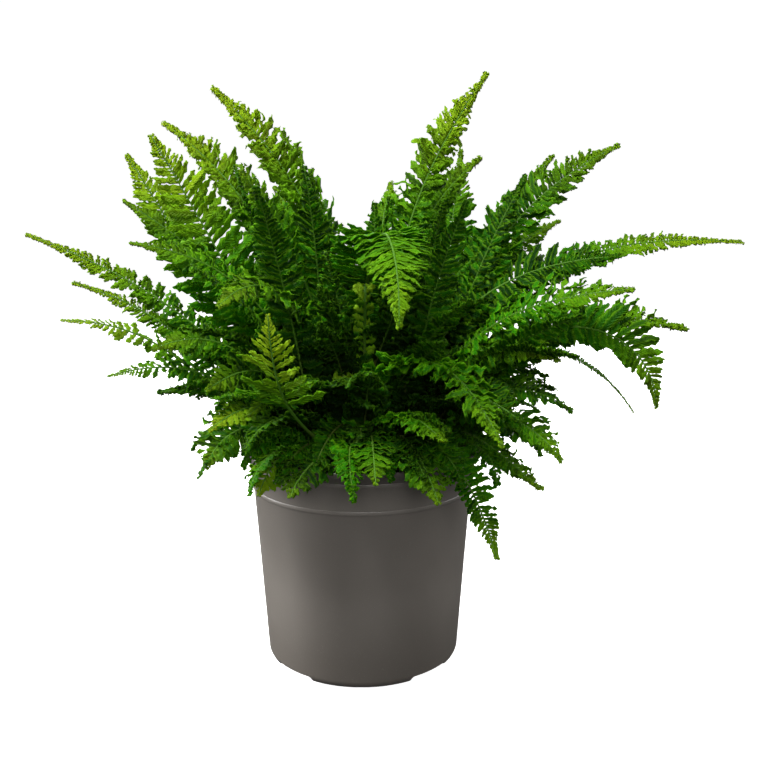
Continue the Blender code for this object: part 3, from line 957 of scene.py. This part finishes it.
@dataclass
class Frond:
    """One frond: where its midrib runs and how it carries its leaflets.

    Attributes:
        midrib: the centre line.
        habit: how the leaflets sit.
        seed: the number that its small differences come from.
        youth: how young its tip looks, from 0 to 1.
        tone: how bright the whole frond is, from 0 to 1.
        stem: the rachis's radius at the foot and at the tip, in millimetres.
        least_mm: the least spacing of the leaflets on one side.
        most_mm: the greatest spacing.
    """

    midrib: Midrib
    habit: Habit
    seed: int
    youth: float = 0.8
    tone: float = 0.5
    stem: Pair = (0.95, 0.28)
    least_mm: float = 1.15
    most_mm: float = 4.7

    def spots(self, random: np.random.Generator, start: float) -> Array:
        """Spaces leaflets along the rachis, closer where they are shorter.

        Args:
            random: the frond's own random numbers.
            start: how far along the rachis the row starts, in spacings.

        Returns:
            Distances from the foot.
        """
        total = self.midrib.distances()[-1]
        here, found = total * self.habit.bare, []
        fine = np.linspace(0.0, total, 60)
        lengths = self.lengths(fine)
        while here < total - 0.5 * MM:
            pitch = float(np.interp(here, fine, lengths)) * self.habit.pitch
            pitch = min(max(pitch, self.least_mm * MM), self.most_mm * MM)
            here += 0.0 if found else start * pitch
            found.append(here)
            here += pitch * random.uniform(0.88, 1.12)
        return np.array(found)

    def lengths(self, spots: Array) -> Array:
        """Returns the leaflets' full length at distances along the midrib."""
        shares = spots / self.midrib.distances()[-1]
        widths = self.midrib.at(spots)[4]
        foot = self.midrib.widths.max() * (0.30 + 0.70 * smooth(shares / 0.24))
        fuller = np.clip(1.0 - shares, 0.08, 1.0) ** -self.habit.fullness
        fuller *= 0.3 + 0.7 * smooth((1.0 - shares) / 0.24)
        full = np.where(shares < 0.22, np.maximum(widths, foot), widths)
        return full * fuller * self.habit.spread

    def leaflets(self) -> Leaflets:
        """Lays out the frond's leaflets, in two rows.

        Returns:
            The leaflets.
        """
        random = np.random.default_rng(self.seed)
        lean = random.uniform(-0.12, 0.12)
        return Leaflets.joined([self.side_row(random, side, lean) for side in (1.0, -1.0)])

    def side_row(self, random: np.random.Generator, side: float, lean: float) -> Leaflets:
        """Lays out the leaflets on one side of the rachis.

        Args:
            random: the frond's own random numbers.
            side: 1 or -1.
            lean: the whole frond's own rise of its leaflets, as a slope.

        Returns:
            The leaflets.
        """
        habit = self.habit
        spots = self.spots(random, 0.5 if side > 0 else 0.0)
        count = len(spots)
        centres, tangents, sides, tops, _ = self.midrib.at(spots)
        shares = spots / self.midrib.distances()[-1]
        spans = self.lengths(spots)

        sweep = np.radians(habit.sweep[0] + (habit.sweep[1] - habit.sweep[0]) * shares**2.2)
        sweep += np.radians(random.normal(0.0, 6.0, count))
        lift = habit.lift + lean + random.normal(0.0, 0.10, count)
        out = np.cos(sweep)[:, None] * side * sides + np.sin(sweep)[:, None] * tangents
        out = unit(out + lift[:, None] * tops)
        across = unit(tangents - (tangents * out).sum(1, keepdims=True) * out)
        up = np.cross(out, across)
        up *= np.where((up * tops).sum(1, keepdims=True) < 0, -1.0, 1.0)

        stunted = random.random(count) < habit.thinning
        length = spans / np.maximum(np.cos(sweep), 0.55) * random.uniform(0.86, 1.12, count)
        upward = np.maximum(out[:, 2], 0.0)
        downward = np.maximum(-out[:, 2], 0.0)
        length *= 1.0 + habit.upper * (upward - 0.5 * downward)
        length *= np.where(stunted, 0.45, 1.0)
        pitch = np.clip(spans * habit.pitch, self.least_mm * MM, self.most_mm * MM)
        width = pitch * habit.overlap * random.uniform(0.88, 1.15, count)
        length = np.maximum(length, 0.8 * width)

        stem = self.stem[0] + (self.stem[1] - self.stem[0]) * shares
        tone = np.clip(random.normal(0.5, 0.22, count), 0.0, 1.0)
        youth = np.clip(self.youth * shares + 0.15 * (tone - 0.5), 0.0, 1.0)
        twist = np.radians(habit.louvre + random.normal(0.0, habit.scatter, count))
        whole = np.full(count, self.tone)
        growth = np.stack([tone, youth, whole, np.ones(count)], axis=1)
        return Leaflets(
            root=centres + out * (0.3 * stem * MM)[:, None],
            along=out,
            across=across,
            up=up,
            length=length,
            width=width,
            curl=habit.curl * random.normal(1.0, 0.7, count),
            twist=twist,
            ruffle=habit.ruffle * random.uniform(0.6, 1.4, count),
            waves=random.uniform(1.6, 2.7, count),
            phases=random.uniform(0.0, math.tau, (count, 2)),
            bend=random.normal(0.08, 0.05, count),
            point=habit.point * random.uniform(0.85, 1.2, count),
            lobes=habit.lobes * random.uniform(0.7, 1.3, count),
            growth=growth,
        )


@dataclass
class Foliage:
    """Fronds that make one piece of leaflets and one piece of rachises.

    Attributes:
        name: the pieces' name.
        fronds: the fronds in it.
        slot: the record's material slot.
        node: the CAD node that it stands for, if any.
        large: the sheet for its larger leaflets.
        large_mm: how long a leaflet is before it takes that sheet.
        thickness_mm: the leaflets' thickness.
    """

    name: str
    fronds: list[Frond]
    slot: str = "frond"
    node: str = ""
    large: Sheet = Sheet.FULL
    large_mm: float = 6.0
    thickness_mm: float = 0.22

    def build(self, leaf: Material, stalk: Material) -> None:
        """Makes both pieces.

        Args:
            leaf: the leaflets' finish.
            stalk: the rachises' finish.
        """
        nodes = (self.node,) if self.node else ()
        blade = new_piece(f"{self.name}_leaflets", self.leaf_mesh(), leaf, self.slot, *nodes)
        thick = blade.modifiers.new("Thickness", "SOLIDIFY")
        thick.thickness = self.thickness_mm * MM
        thick.offset = 0.0
        new_piece(f"{self.name}_rachis", self.stem_mesh(), stalk, self.slot, *nodes)

    def leaf_mesh(self) -> bpy.types.Mesh:
        """Makes the leaflets' mesh: copies of the flat sheet, each bent into its own shape."""
        leaflets = Leaflets.joined([frond.leaflets() for frond in self.fronds])
        long = leaflets.length > self.large_mm * MM
        sets = [(self.large, leaflets.take(long)), (Sheet.SMALL, leaflets.take(~long))]
        bm = bmesh.new()
        for sheet, chosen in sets:
            for _ in range(len(chosen.length)):
                bm.from_mesh(sheet.template)
        mesh = finished(bm, f"{self.name}_leaflets")
        places = [chosen.shaped(sheet).reshape(-1, 3) for sheet, chosen in sets]
        mesh.vertices.foreach_set("co", np.concatenate(places).astype(np.float32).ravel())
        counts = [len(sheet.template.vertices) for sheet, _ in sets]
        shades = [np.repeat(sets[i][1].growth, counts[i], axis=0) for i in (0, 1)]
        growth = mesh.attributes.new("growth", "FLOAT_COLOR", "POINT")
        growth.data.foreach_set("color", np.concatenate(shades).astype(np.float32).ravel())
        mesh.update()
        return mesh

    def stem_mesh(self) -> bpy.types.Mesh:
        """Makes the rachises' mesh from bevelled curves that start inside the crown."""
        curve = bpy.data.curves.new(f"{self.name}_rachis", "CURVE")
        curve.dimensions = "3D"
        curve.bevel_depth = 1.0 * MM
        curve.bevel_resolution = 1
        curve.use_fill_caps = True
        for frond in self.fronds:
            midrib = frond.midrib
            tangents = unit(np.gradient(midrib.centres, axis=0))
            points = np.vstack([midrib.centres[0] - tangents[0] * 4 * MM, midrib.centres])
            shares = np.linspace(0.0, 1.0, len(points))
            radii = frond.stem[0] + (frond.stem[1] - frond.stem[0]) * shares**0.8
            spline = curve.splines.new("POLY")
            spline.points.add(len(points) - 1)
            for point, place, radius in zip(spline.points, points, radii):
                point.co = (*place, 1.0)
                point.radius = radius
        mesh = evaluated_mesh(placed(curve.name, curve))
        bpy.data.curves.remove(curve)
        bm = bmesh.new()
        bm.from_mesh(mesh)
        bpy.data.meshes.remove(mesh)
        return finished(welded(bm), f"{self.name}_rachis")


# The plant


@dataclass
class Fern:
    """The plant above the potting mix: fronds, young crosiers and undergrowth.

    Attributes:
        leaf: the leaflets' finish.
        stalk: the rachises' finish.
        bright: the fronds in the light, with the lighter tone that paints light on them.
        tones: the least and greatest tone of the others.
        yellowed: the fronds with yellow tips, with their youth.
        shaded: the fronds in the dark, with the darker tone and youth that paint shade on them.
        youth: the youth of the others.
        sprig_youth: the youth of the fresh sprig.
        back: the fronds behind the plant, whose leaflets are less finely divided.
        crosier_mm: the half-width of a crosier's folded leaflets.
        tufts: the undergrowth.
    """

    leaf: FernLeaf = field(default_factory=FernLeaf)
    stalk: FernStalk = field(default_factory=FernStalk)
    bright: tuple[int, ...] = (1, 2, 3, 4, 5, 7, 11, 16, 21, 25, 29)
    painted_light_tone: float = 0.85
    tones: Pair = (0.25, 0.7)
    yellowed: tuple[int, ...] = (1, 6, 7, 8, 9, 11, 12, 16, 17, 25, 39)
    yellowed_youth: float = 0.88
    shaded: tuple[int, ...] = (34, 38, 40, 41)
    painted_shade_tone: float = 0.05
    painted_shade_youth: float = 0.3
    youth: float = 0.68
    sprig_youth: float = 0.95
    back: range = range(46, 56)
    crosier_mm: float = 5.2
    seed: int = 7000
    crosier_seed: int = 900
    tufts: tuple["Tuft", ...] = field(default_factory=lambda: TUFTS)

    def build(self) -> None:
        """Makes every frond, the crosiers and the undergrowth."""
        leaf, stalk = self.leaf.build(), self.stalk.build()
        fresh = replace(self.leaf, name="young fern leaf", deep="#3e8414", bright="#86b424")
        young = fresh.build()
        names = sorted(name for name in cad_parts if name.startswith("frond_"))
        for name in names:
            self.frond(name).build(leaf, stalk)
        LOG.info("%d fronds", len(names))
        names = sorted(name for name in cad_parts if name.startswith("crosier_"))
        for number, name in enumerate(names, self.crosier_seed):
            midrib = Midrib.of_crosier(name, self.crosier_mm * MM).refined(2)
            frond = Frond(midrib, FOLDED, number, tone=1.0, stem=(0.9, 0.5))
            Foliage(name, [frond], "young_frond", name).build(young, stalk)
        LOG.info("%d young crosiers", len(names))
        for tuft in self.tufts:
            tuft.build(leaf, stalk)

    def frond(self, name: str) -> Foliage:
        """Lays out the foliage that stands for one frond's solid.

        Args:
            name: the frond's CAD node.

        Returns:
            The foliage.
        """
        number = int(name.split("_")[1])
        random = np.random.default_rng(self.seed + number)
        # Bright fronds take a lighter tone as painted light; shaded fronds a darker tone and youth
        # as painted shade.
        bright = number in self.bright
        tone = self.painted_light_tone if bright else float(random.uniform(*self.tones))
        youth = self.yellowed_youth if number in self.yellowed else self.youth
        if number in Kind.SPRIG.value.fronds:
            youth = self.sprig_youth
        if number in self.shaded:
            tone, youth = self.painted_shade_tone, self.painted_shade_youth
        midrib = Midrib.of_frond(name).refined(4)
        frond = Frond(midrib, Kind.of(number), number, youth=youth, tone=tone)
        large = Sheet.HALF if number in self.back else Sheet.FULL
        return Foliage(name, [frond], "frond", name, large)


@dataclass
class Tuft:
    """Unnamed fronds that crowd round the crown, spread by the golden angle.

    Lengths are millimetres, and slopes and directions are degrees.

    Attributes:
        name: the piece's name.
        count: how many fronds.
        reach: the least and greatest distance from the crown to a tip.
        height: the least and greatest slope of the line from the crown to a tip.
        launch: how much steeper than that line a frond leaves the crown.
        width: the least and greatest half-width of a blade.
        turn: where the spread starts.
        seed: the number that the small differences come from.
        large: the sheet for its larger leaflets.
        tone: the least and greatest brightness of a frond, from 0 to 1, low by default as painted
            shade inside the plant.
        hollow: how much shorter the fronds are where the crosiers rise, as a share.
        opening: the direction in which the crosiers rise, and the width of that opening.
        steepest: the greatest slope at which a frond leaves the crown.
        handle: how far a midrib holds its end slopes, as a share of its reach.
        roll: the most that a blade turns about its midrib, in radians.
        youth, stem, least_mm: what its fronds take.
    """

    name: str
    count: int
    reach: Pair
    height: Pair
    launch: float
    width: Pair
    turn: float
    seed: int
    large: Sheet = Sheet.HALF
    tone: Pair = (0.0, 0.45)
    hollow: float = 0.42
    opening: Pair = (280.0, 24.0)
    steepest: float = 86.0
    handle: float = 0.42
    roll: float = 0.9
    youth: float = 0.45
    stem: Pair = (0.7, 0.25)
    least_mm: float = 1.7

    def frond(self, number: int, random: np.random.Generator) -> Frond:
        """Lays out one frond.

        Args:
            number: which frond; the first are the steepest and sit nearest the middle.
            random: the tuft's own random numbers.

        Returns:
            The frond.
        """
        low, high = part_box("crown")
        turn = math.radians(self.turn) + number * GOLDEN_TURN
        outward = np.array([math.cos(turn), math.sin(turn), 0.0])
        share = (number + random.uniform(0.1, 0.9)) / self.count
        slope = math.radians(self.height[1] + (self.height[0] - self.height[1]) * share)
        reach = random.uniform(*self.reach) * MM
        # The fronds stay short towards the opening at the front, where the crosiers rise.
        off = math.degrees(math.remainder(turn - math.radians(self.opening[0]), math.tau))
        reach *= 1.0 - self.hollow * math.exp(-((off / self.opening[1]) ** 2))
        launch = min(slope + math.radians(self.launch), math.radians(self.steepest))
        ending = slope - math.radians(self.launch * random.uniform(0.9, 1.6))
        foot = high.x * 0.95 * math.sqrt(share) * outward + (low.z + 2 * MM) * UP
        tip = foot + reach * (math.cos(slope) * outward + math.sin(slope) * UP)
        leaving = math.cos(launch) * outward + math.sin(launch) * UP
        arriving = math.cos(ending) * outward + math.sin(ending) * UP
        aside = random.uniform(-0.12, 0.12) * reach * np.cross(UP, outward)
        handle = reach * self.handle
        corners = [foot, foot + leaving * handle, tip - arriving * handle, tip + aside]
        roll = random.uniform(-self.roll, self.roll)
        width = random.uniform(*self.width) * MM
        midrib = Midrib.of_bezier(corners, width, roll).refined(2)
        habit = CROWDED if number % 2 else PLAIN
        tone = float(random.uniform(*self.tone))
        seed = self.seed * 100 + number
        return Frond(midrib, habit, seed, self.youth, tone, self.stem, self.least_mm)

    def build(self, leaf: Material, stalk: Material) -> None:
        """Makes the tuft's leaflets and rachises."""
        random = np.random.default_rng(self.seed)
        fronds = [self.frond(number, random) for number in range(self.count)]
        Foliage(self.name, fronds, "young_frond", large=self.large).build(leaf, stalk)
        LOG.info("%s of %d fronds", self.name, self.count)


TUFTS = (
    Tuft("undergrowth_low", 48, (26, 52), (8, 80), 34, (7, 11), 0, 41, Sheet.SMALL),
    Tuft("undergrowth_middle", 30, (55, 85), (5, 78), 30, (8, 12), 40, 42),
    Tuft("undergrowth_high", 22, (92, 126), (38, 84), 22, (10, 14), 95, 43),
    Tuft("undergrowth_broad", 20, (84, 106), (24, 58), 28, (10, 14), 200, 45),
    Tuft("undergrowth_outer", 24, (64, 88), (14, 48), 38, (9, 13), 10, 44),
    Tuft("undergrowth_upright", 14, (122, 142), (70, 88), 6, (14, 17), 20, 46),
    Tuft("undergrowth_rim", 28, (52, 64), (-3, 7), 52, (10, 13), 258, 47, tone=(0.5, 1), hollow=0),
)


@dataclass
class Crown:
    """The crown: crowded scaly rootstocks and the stubs of old stalks, on the potting mix."""

    finish: ScalyRootstock = field(default_factory=ScalyRootstock)
    knob_mm: float = 7.0
    knob_height_mm: float = 1.6
    scale_mm: float = 2.4
    stubs: int = 44
    stub_mm: Pair = (3.0, 7.0)
    stub_radius_mm: Pair = (0.9, 1.5)
    seed: int = 310

    def build(self) -> None:
        """Makes the dome with its knobs, and the stubs."""
        low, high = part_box("crown")
        height = high.z - low.z
        bm = bmesh.new()
        bmesh.ops.create_uvsphere(bm, u_segments=72, v_segments=36, radius=1.0)
        geom = [*bm.verts, *bm.edges, *bm.faces]
        plane = {"plane_co": (0, 0, 0), "plane_no": (0, 0, -1), "clear_outer": True}
        below = bmesh.ops.bisect_plane(bm, geom=geom, **plane)
        rim = [item for item in below["geom_cut"] if isinstance(item, bmesh.types.BMEdge)]
        bmesh.ops.contextual_create(bm, geom=rim)
        for vert in bm.verts:
            out = vert.co.copy()
            place = Vector((out.x * high.x, out.y * high.y, low.z + out.z * height * 0.9))
            lump = noise.noise(place / (self.knob_mm * MM))
            lump += 0.4 * noise.noise(place / (self.scale_mm * MM))
            rise = lump * max(0.0, out.z) ** 0.5 * self.knob_height_mm * MM
            vert.co = place + out * rise
        random = np.random.default_rng(self.seed)
        for number in range(self.stubs):
            self.add_stub(bm, number, random)
        bmesh.ops.recalc_face_normals(bm, faces=bm.faces)
        mesh = finished(bm, "crown_rootstocks")
        new_piece("crown_rootstocks", mesh, self.finish.build(), "crown", "crown")
        LOG.info("crown with %d stalk stubs", self.stubs)

    def add_stub(self, bm: BMesh, number: int, random: np.random.Generator) -> None:
        """Adds the stub of one old stalk.

        Args:
            bm: the crown's bmesh.
            number: which stub, which sets its place.
            random: the crown's own random numbers.
        """
        low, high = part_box("crown")
        turn = number * GOLDEN_TURN
        share = math.sqrt((number + 0.5) / self.stubs)
        out = share * high.x * 0.92
        up = low.z + (high.z - low.z) * math.sqrt(max(0.0, 1.0 - share**2)) * 0.8
        tall = random.uniform(*self.stub_mm) * MM
        lean = Matrix.Rotation(math.radians(10 + 45 * share), 4, "Y")
        place = Matrix.Translation((out * math.cos(turn), out * math.sin(turn), up))
        matrix = place @ Matrix.Rotation(turn, 4, "Z") @ lean
        radius = random.uniform(*self.stub_radius_mm) * MM
        cone = {"radius1": radius * 1.3, "radius2": radius * 0.8, "depth": tall}
        bmesh.ops.create_cone(bm, cap_ends=True, segments=8, matrix=matrix, **cone)


@dataclass
class PottingMix:
    """The potting mix: its own solid in the pot, with a crumbly top and loose crumbs on it.

    Attributes:
        crumb_mm: the least and greatest length of a crumb.
        edge_mm: how far the crumbs stay off the wall.
        level_mm: how far from the axis the top is level.
        slope_mm: how far the slope beyond that runs, and how far it falls.
    """

    finish: PeatMix = field(default_factory=PeatMix)
    crumbs: int = 620
    crumb_mm: Pair = (0.8, 2.6)
    edge_mm: float = 3.0
    level_mm: float = 37.0
    slope_mm: Pair = (13.0, 2.0)
    seed: int = 88

    def build(self) -> None:
        """Dresses the solid and scatters the crumbs on its top."""
        material = self.finish.build()
        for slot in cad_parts["potting_mix"].material_slots:
            slot.material = material
        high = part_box("potting_mix")[1]
        run, drop = self.slope_mm
        random = np.random.default_rng(self.seed)
        bm = bmesh.new()
        for _ in range(self.crumbs):
            turn = random.uniform(0.0, math.tau)
            out = (high.x - self.edge_mm * MM) * math.sqrt(random.uniform(0.3, 1.0))
            fall = drop * MM * smooth(np.array((out - self.level_mm * MM) / (run * MM)))
            size = random.uniform(*self.crumb_mm) * MM
            place = (out * math.cos(turn), out * math.sin(turn), high.z - float(fall) + size * 0.2)
            spin = Matrix.Rotation(random.uniform(0.0, math.tau), 4, Vector(random.normal(size=3)))
            sides = (size, size * random.uniform(0.5, 0.9), size * random.uniform(0.4, 0.8))
            matrix = Matrix.Translation(place) @ spin @ Matrix.Diagonal((*sides, 1.0))
            bmesh.ops.create_icosphere(bm, subdivisions=1, radius=0.6, matrix=matrix)
        mesh = finished(bm, "potting_mix_crumbs")
        new_piece("potting_mix_crumbs", mesh, material, "potting_mix")
        LOG.info("potting mix with %d crumbs", self.crumbs)


@dataclass
class NurseryPot:
    """The moulded pot: a thin turned shell with a flared lip, a collar and slots under its foot.

    Sizes are millimetres and agree with the pot's solid, whose mouth and height come from the
    frame.
    """

    finish: MouldedPolypropylene = field(default_factory=MouldedPolypropylene)
    base_radius: float = 48.2
    wall: float = 1.2
    lip_height: float = 7.0
    lip_flare: float = 4.1
    lip_edge: float = 0.7
    collar_height: float = 13.0
    collar_taper: float = 1.5
    collar_step: float = 0.4
    bead_height: float = 0.16
    bead_width: float = 1.8
    base_corner: float = 4.5
    foot_ring: float = 8.0
    recess: float = 3.0
    pad_radius: float = 22.0
    slots: int = 4
    slot_size: Pair = (25.0, 3.5)
    slot_corner: float = 1.5
    nick_size: Pair = (4.0, 0.8)
    nick_corner: float = 0.3
    drain_radius: float = 4.0
    steps: int = 160
    sharp_angle: float = 38.0

    def bead(self, radius: float, height: float) -> list[Pair]:
        """Returns the half-round line that stands out of the wall at a height."""
        points = arc((0.0, 0.0), 1.0, 90, -90, 8)
        half = self.bead_width / 2
        return [(radius + x * self.bead_height, height + z * half) for x, z in points]

    def outline(self, mouth: float, height: float) -> list[Pair]:
        """Works out the shell's closed section from the inside middle round to the underside.

        Args:
            mouth: the lip's outer radius.
            height: the pot's height.

        Returns:
            (radius, height) points.
        """
        lip_foot = height - self.lip_height
        collar_foot = lip_foot - self.collar_height
        collar = mouth - self.lip_flare
        lower = collar - self.collar_taper
        step = lower - self.collar_step
        floor = self.recess + self.wall
        slope = (step - self.base_radius) / (collar_foot - self.base_corner)
        ring = self.base_radius - self.foot_ring

        def wall(z: float) -> float:
            """Returns the tapered wall's outer radius at a height."""
            return self.base_radius + slope * (z - self.base_corner)

        edge = self.lip_edge
        inside = [
            (0.0, self.wall),
            (self.pad_radius - self.wall, self.wall),
            (self.pad_radius + 0.6, floor),
            (wall(floor) - self.wall - 1.5, floor),
            (wall(floor + 1.5) - self.wall, floor + 1.5),
            (wall(collar_foot) - self.wall, collar_foot),
            (lower - self.wall, collar_foot + 1.0),
            (collar - self.wall, lip_foot - 0.6),
            (collar - self.wall + 0.5, lip_foot + 0.4),
            (mouth - self.wall - 0.5, height - 0.8),
        ]
        lip = arc((mouth - edge, height - edge), edge, 110, -30, 10)
        flare = [
            (mouth - 0.35, height - 2.4),
            (collar + 1.4, lip_foot + 2.6),
            (collar + 0.35, lip_foot + 1.1),
        ]
        beads = self.bead(collar, lip_foot) + self.bead(lower, collar_foot)
        middle = [(step, collar_foot - self.bead_width), (wall(collar_foot / 2), collar_foot / 2)]
        corner = (self.base_radius - self.base_corner, self.base_corner)
        base = arc(corner, self.base_corner, 0, -90, 10)
        underside = [
            (ring, 0.0),
            (ring - 1.2, self.recess),
            (self.pad_radius + 1.4, self.recess),
            (self.pad_radius, 0.0),
            (0.0, 0.0),
        ]
        return inside + lip + flare + beads + middle + base + underside

    def build(self) -> None:
        """Makes the pot's mesh: turned, then cut through by the slots, nicks and drain holes."""
        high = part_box("pot")[1]
        points = self.outline(round(high.x / MM, 1), round(high.z / MM, 1))
        shell = turned([(x * MM, z * MM) for x, z in points], self.steps)
        solid = placed("pot_shell", finished(shell, "pot_shell"))
        cutters = self.cutters()
        cut = solid.modifiers.new("Openings", "BOOLEAN")
        cut.operation = "DIFFERENCE"
        cut.solver = "EXACT"
        cut.object = cutters
        mesh = evaluated_mesh(solid)
        bpy.data.objects.remove(cutters)
        mesh.shade_smooth()
        mesh.set_sharp_from_angle(angle=math.radians(self.sharp_angle))
        new_piece("pot_shell", mesh, self.finish.build(), "pot_plastic", "pot")
        LOG.info("pot with %d slots, nicks and drain holes", self.slots)

    def cutters(self) -> bpy.types.Object:
        """Makes one object of all the bars that are cut out of the foot and the floor."""
        bm = bmesh.new()
        inner = self.base_radius - self.foot_ring
        reach = (inner - 3.0, self.base_radius + 4.0)
        out = (inner + self.pad_radius) / 2 * MM
        radius = self.drain_radius * MM
        drain = {"radius1": radius, "radius2": radius, "depth": 4 * (self.recess + self.wall) * MM}
        for number in range(self.slots):
            turn = math.tau * (number + 0.5) / self.slots
            self.add_bar(bm, reach, self.slot_size, self.slot_corner, turn)
            nick_turn = math.tau * number / self.slots
            self.add_bar(bm, reach, self.nick_size, self.nick_corner, nick_turn)
            place = Matrix.Translation((out * math.cos(turn), out * math.sin(turn), 0.0))
            bmesh.ops.create_cone(bm, cap_ends=True, segments=32, matrix=place, **drain)
        bmesh.ops.recalc_face_normals(bm, faces=bm.faces)
        return placed("pot_openings", finished(bm, "pot_openings"))

    def add_bar(self, bm: BMesh, reach: Pair, size: Pair, corner: float, turn: float) -> None:
        """Adds a bar with rounded long edges that lies along a radius, half under the floor.

        Args:
            bm: the cutters' bmesh.
            reach: the radii between which it lies.
            size: its width and its height above the floor.
            corner: its edges' radius.
            turn: the radius's direction, in radians.
        """
        made = bmesh.ops.create_cube(bm, size=1.0)["verts"]
        stretch = ((reach[1] - reach[0]) * MM, size[0] * MM, 2 * size[1] * MM)
        bmesh.ops.scale(bm, verts=made, vec=stretch)
        edges = {edge for vert in made for edge in vert.link_edges}
        faces = {face for vert in made for face in vert.link_faces}
        spans = {edge: abs(edge.verts[0].co.x - edge.verts[1].co.x) for edge in edges}
        bevelled = bmesh.ops.bevel(
            bm,
            geom=[edge for edge in edges if spans[edge] > 0.5 * MM],
            offset=corner * MM,
            segments=5,
            profile=0.5,
            affect="EDGES",
            material=-1,
        )
        faces = {face for face in faces if face.is_valid} | set(bevelled["faces"])
        verts = list({vert for face in faces for vert in face.verts})
        bmesh.ops.translate(bm, verts=verts, vec=((reach[0] + reach[1]) / 2 * MM, 0.0, 0.0))
        bmesh.ops.rotate(bm, verts=verts, matrix=Matrix.Rotation(turn, 3, "Z"))


# The studio


@dataclass
class Studio:
    """The plain pale paper sweep, the soft lights and the camera. Lengths are metres.

    Attributes:
        sky, ground: how bright the surroundings are above and below.
        lamps: each lamp's name, place, side and power in watts.
        aim: the height that the lamps point at.
        camera_tilt: how far the camera is turned up from straight down, in degrees.
    """

    paper: MattPaper = field(default_factory=MattPaper)
    paper_radius: float = 4.0
    paper_bend: float = 1.2
    paper_height: float = 6.0
    sky: float = 0.10
    ground: float = 0.05
    lamps: tuple[tuple, ...] = (
        ("left", (-1.05, 0.22, 0.45), 0.7, 27.0),
        ("right", (1.0, 0.4, 0.5), 0.7, 10.0),
        ("top", (-0.35, -0.35, 1.15), 0.4, 24.0),
        ("front", (0.1, -1.25, 0.6), 0.6, 8.5),
        ("back", (0.3, 1.3, 0.7), 0.7, 7.0),
    )
    aim: float = 0.14
    camera_place: tuple[float, float, float] = (0.0099, -0.437, 0.214)
    camera_tilt: float = 80.1
    lens_mm: float = 42.35

    def build(self) -> None:
        """Makes the stage."""
        self.sweep()
        self.world()
        for lamp in self.lamps:
            self.add_lamp(*lamp)
        scene = bpy.context.scene
        scene.view_settings.view_transform = "Standard"
        camera = bpy.data.cameras.new("camera")
        camera.lens = self.lens_mm
        camera.clip_start = 0.01
        scene.camera = placed("camera", camera)
        scene.camera.location = self.camera_place
        scene.camera.rotation_euler = (math.radians(self.camera_tilt), 0.0, 0.0)
        LOG.info("studio")

    def sweep(self) -> None:
        """Makes the paper: a floor that bends up into a wall all round, white to the camera."""
        bend = self.paper_bend
        points = [(0.0, 0.0), *arc((self.paper_radius, bend), bend, -90, 0, 12)]
        points.append((self.paper_radius + bend, self.paper_height))
        sweep = placed("paper_sweep", finished(turned(points, 64), "paper_sweep"))
        # The paper throws no light of its own on the plant.
        sweep.visible_diffuse = False
        sweep.visible_glossy = False
        sweep.visible_shadow = False
        sweep.data.materials.append(self.paper.build())

    def world(self) -> None:
        """Makes the surroundings: a soft white light that falls off towards the ground."""
        world = bpy.data.worlds.new("white studio")
        world.use_nodes = True
        tree = world.node_tree
        tree.nodes.clear()
        coords = add(tree, "TexCoord", output="Generated")
        up = add(tree, "SeparateXYZ", (coords,), "Z")
        share = add(tree, "MapRange", (up, -0.25, 0.55), **EASED)
        inputs = (share, self.sky - self.ground, self.ground)
        strength = add(tree, "Math", inputs, operation="MULTIPLY_ADD")
        add(tree, "OutputWorld", (add(tree, "Background", ("#ffffff", strength)),))
        bpy.context.scene.world = world

    def add_lamp(self, name: str, place: tuple[float, ...], size: float, watts: float) -> None:
        """Adds a square soft lamp that points at the plant.

        Args:
            name: the lamp's name.
            place: where it hangs.
            size: its side.
            watts: its power.
        """
        light = bpy.data.lights.new(name, "AREA")
        light.size = size
        light.energy = watts
        lamp = placed(name, light)
        lamp.location = place
        lamp.visible_camera = False
        aim = Vector((0.0, 0.0, self.aim)) - Vector(place)
        lamp.rotation_euler = aim.to_track_quat("-Z", "Y").to_euler()


def main() -> None:
    logging.basicConfig(level=logging.INFO, format="%(name)s: %(message)s")
    Studio().build()
    NurseryPot().build()
    PottingMix().build()
    Crown().build()
    Fern().build()


if __name__ == "__main__":
    main()
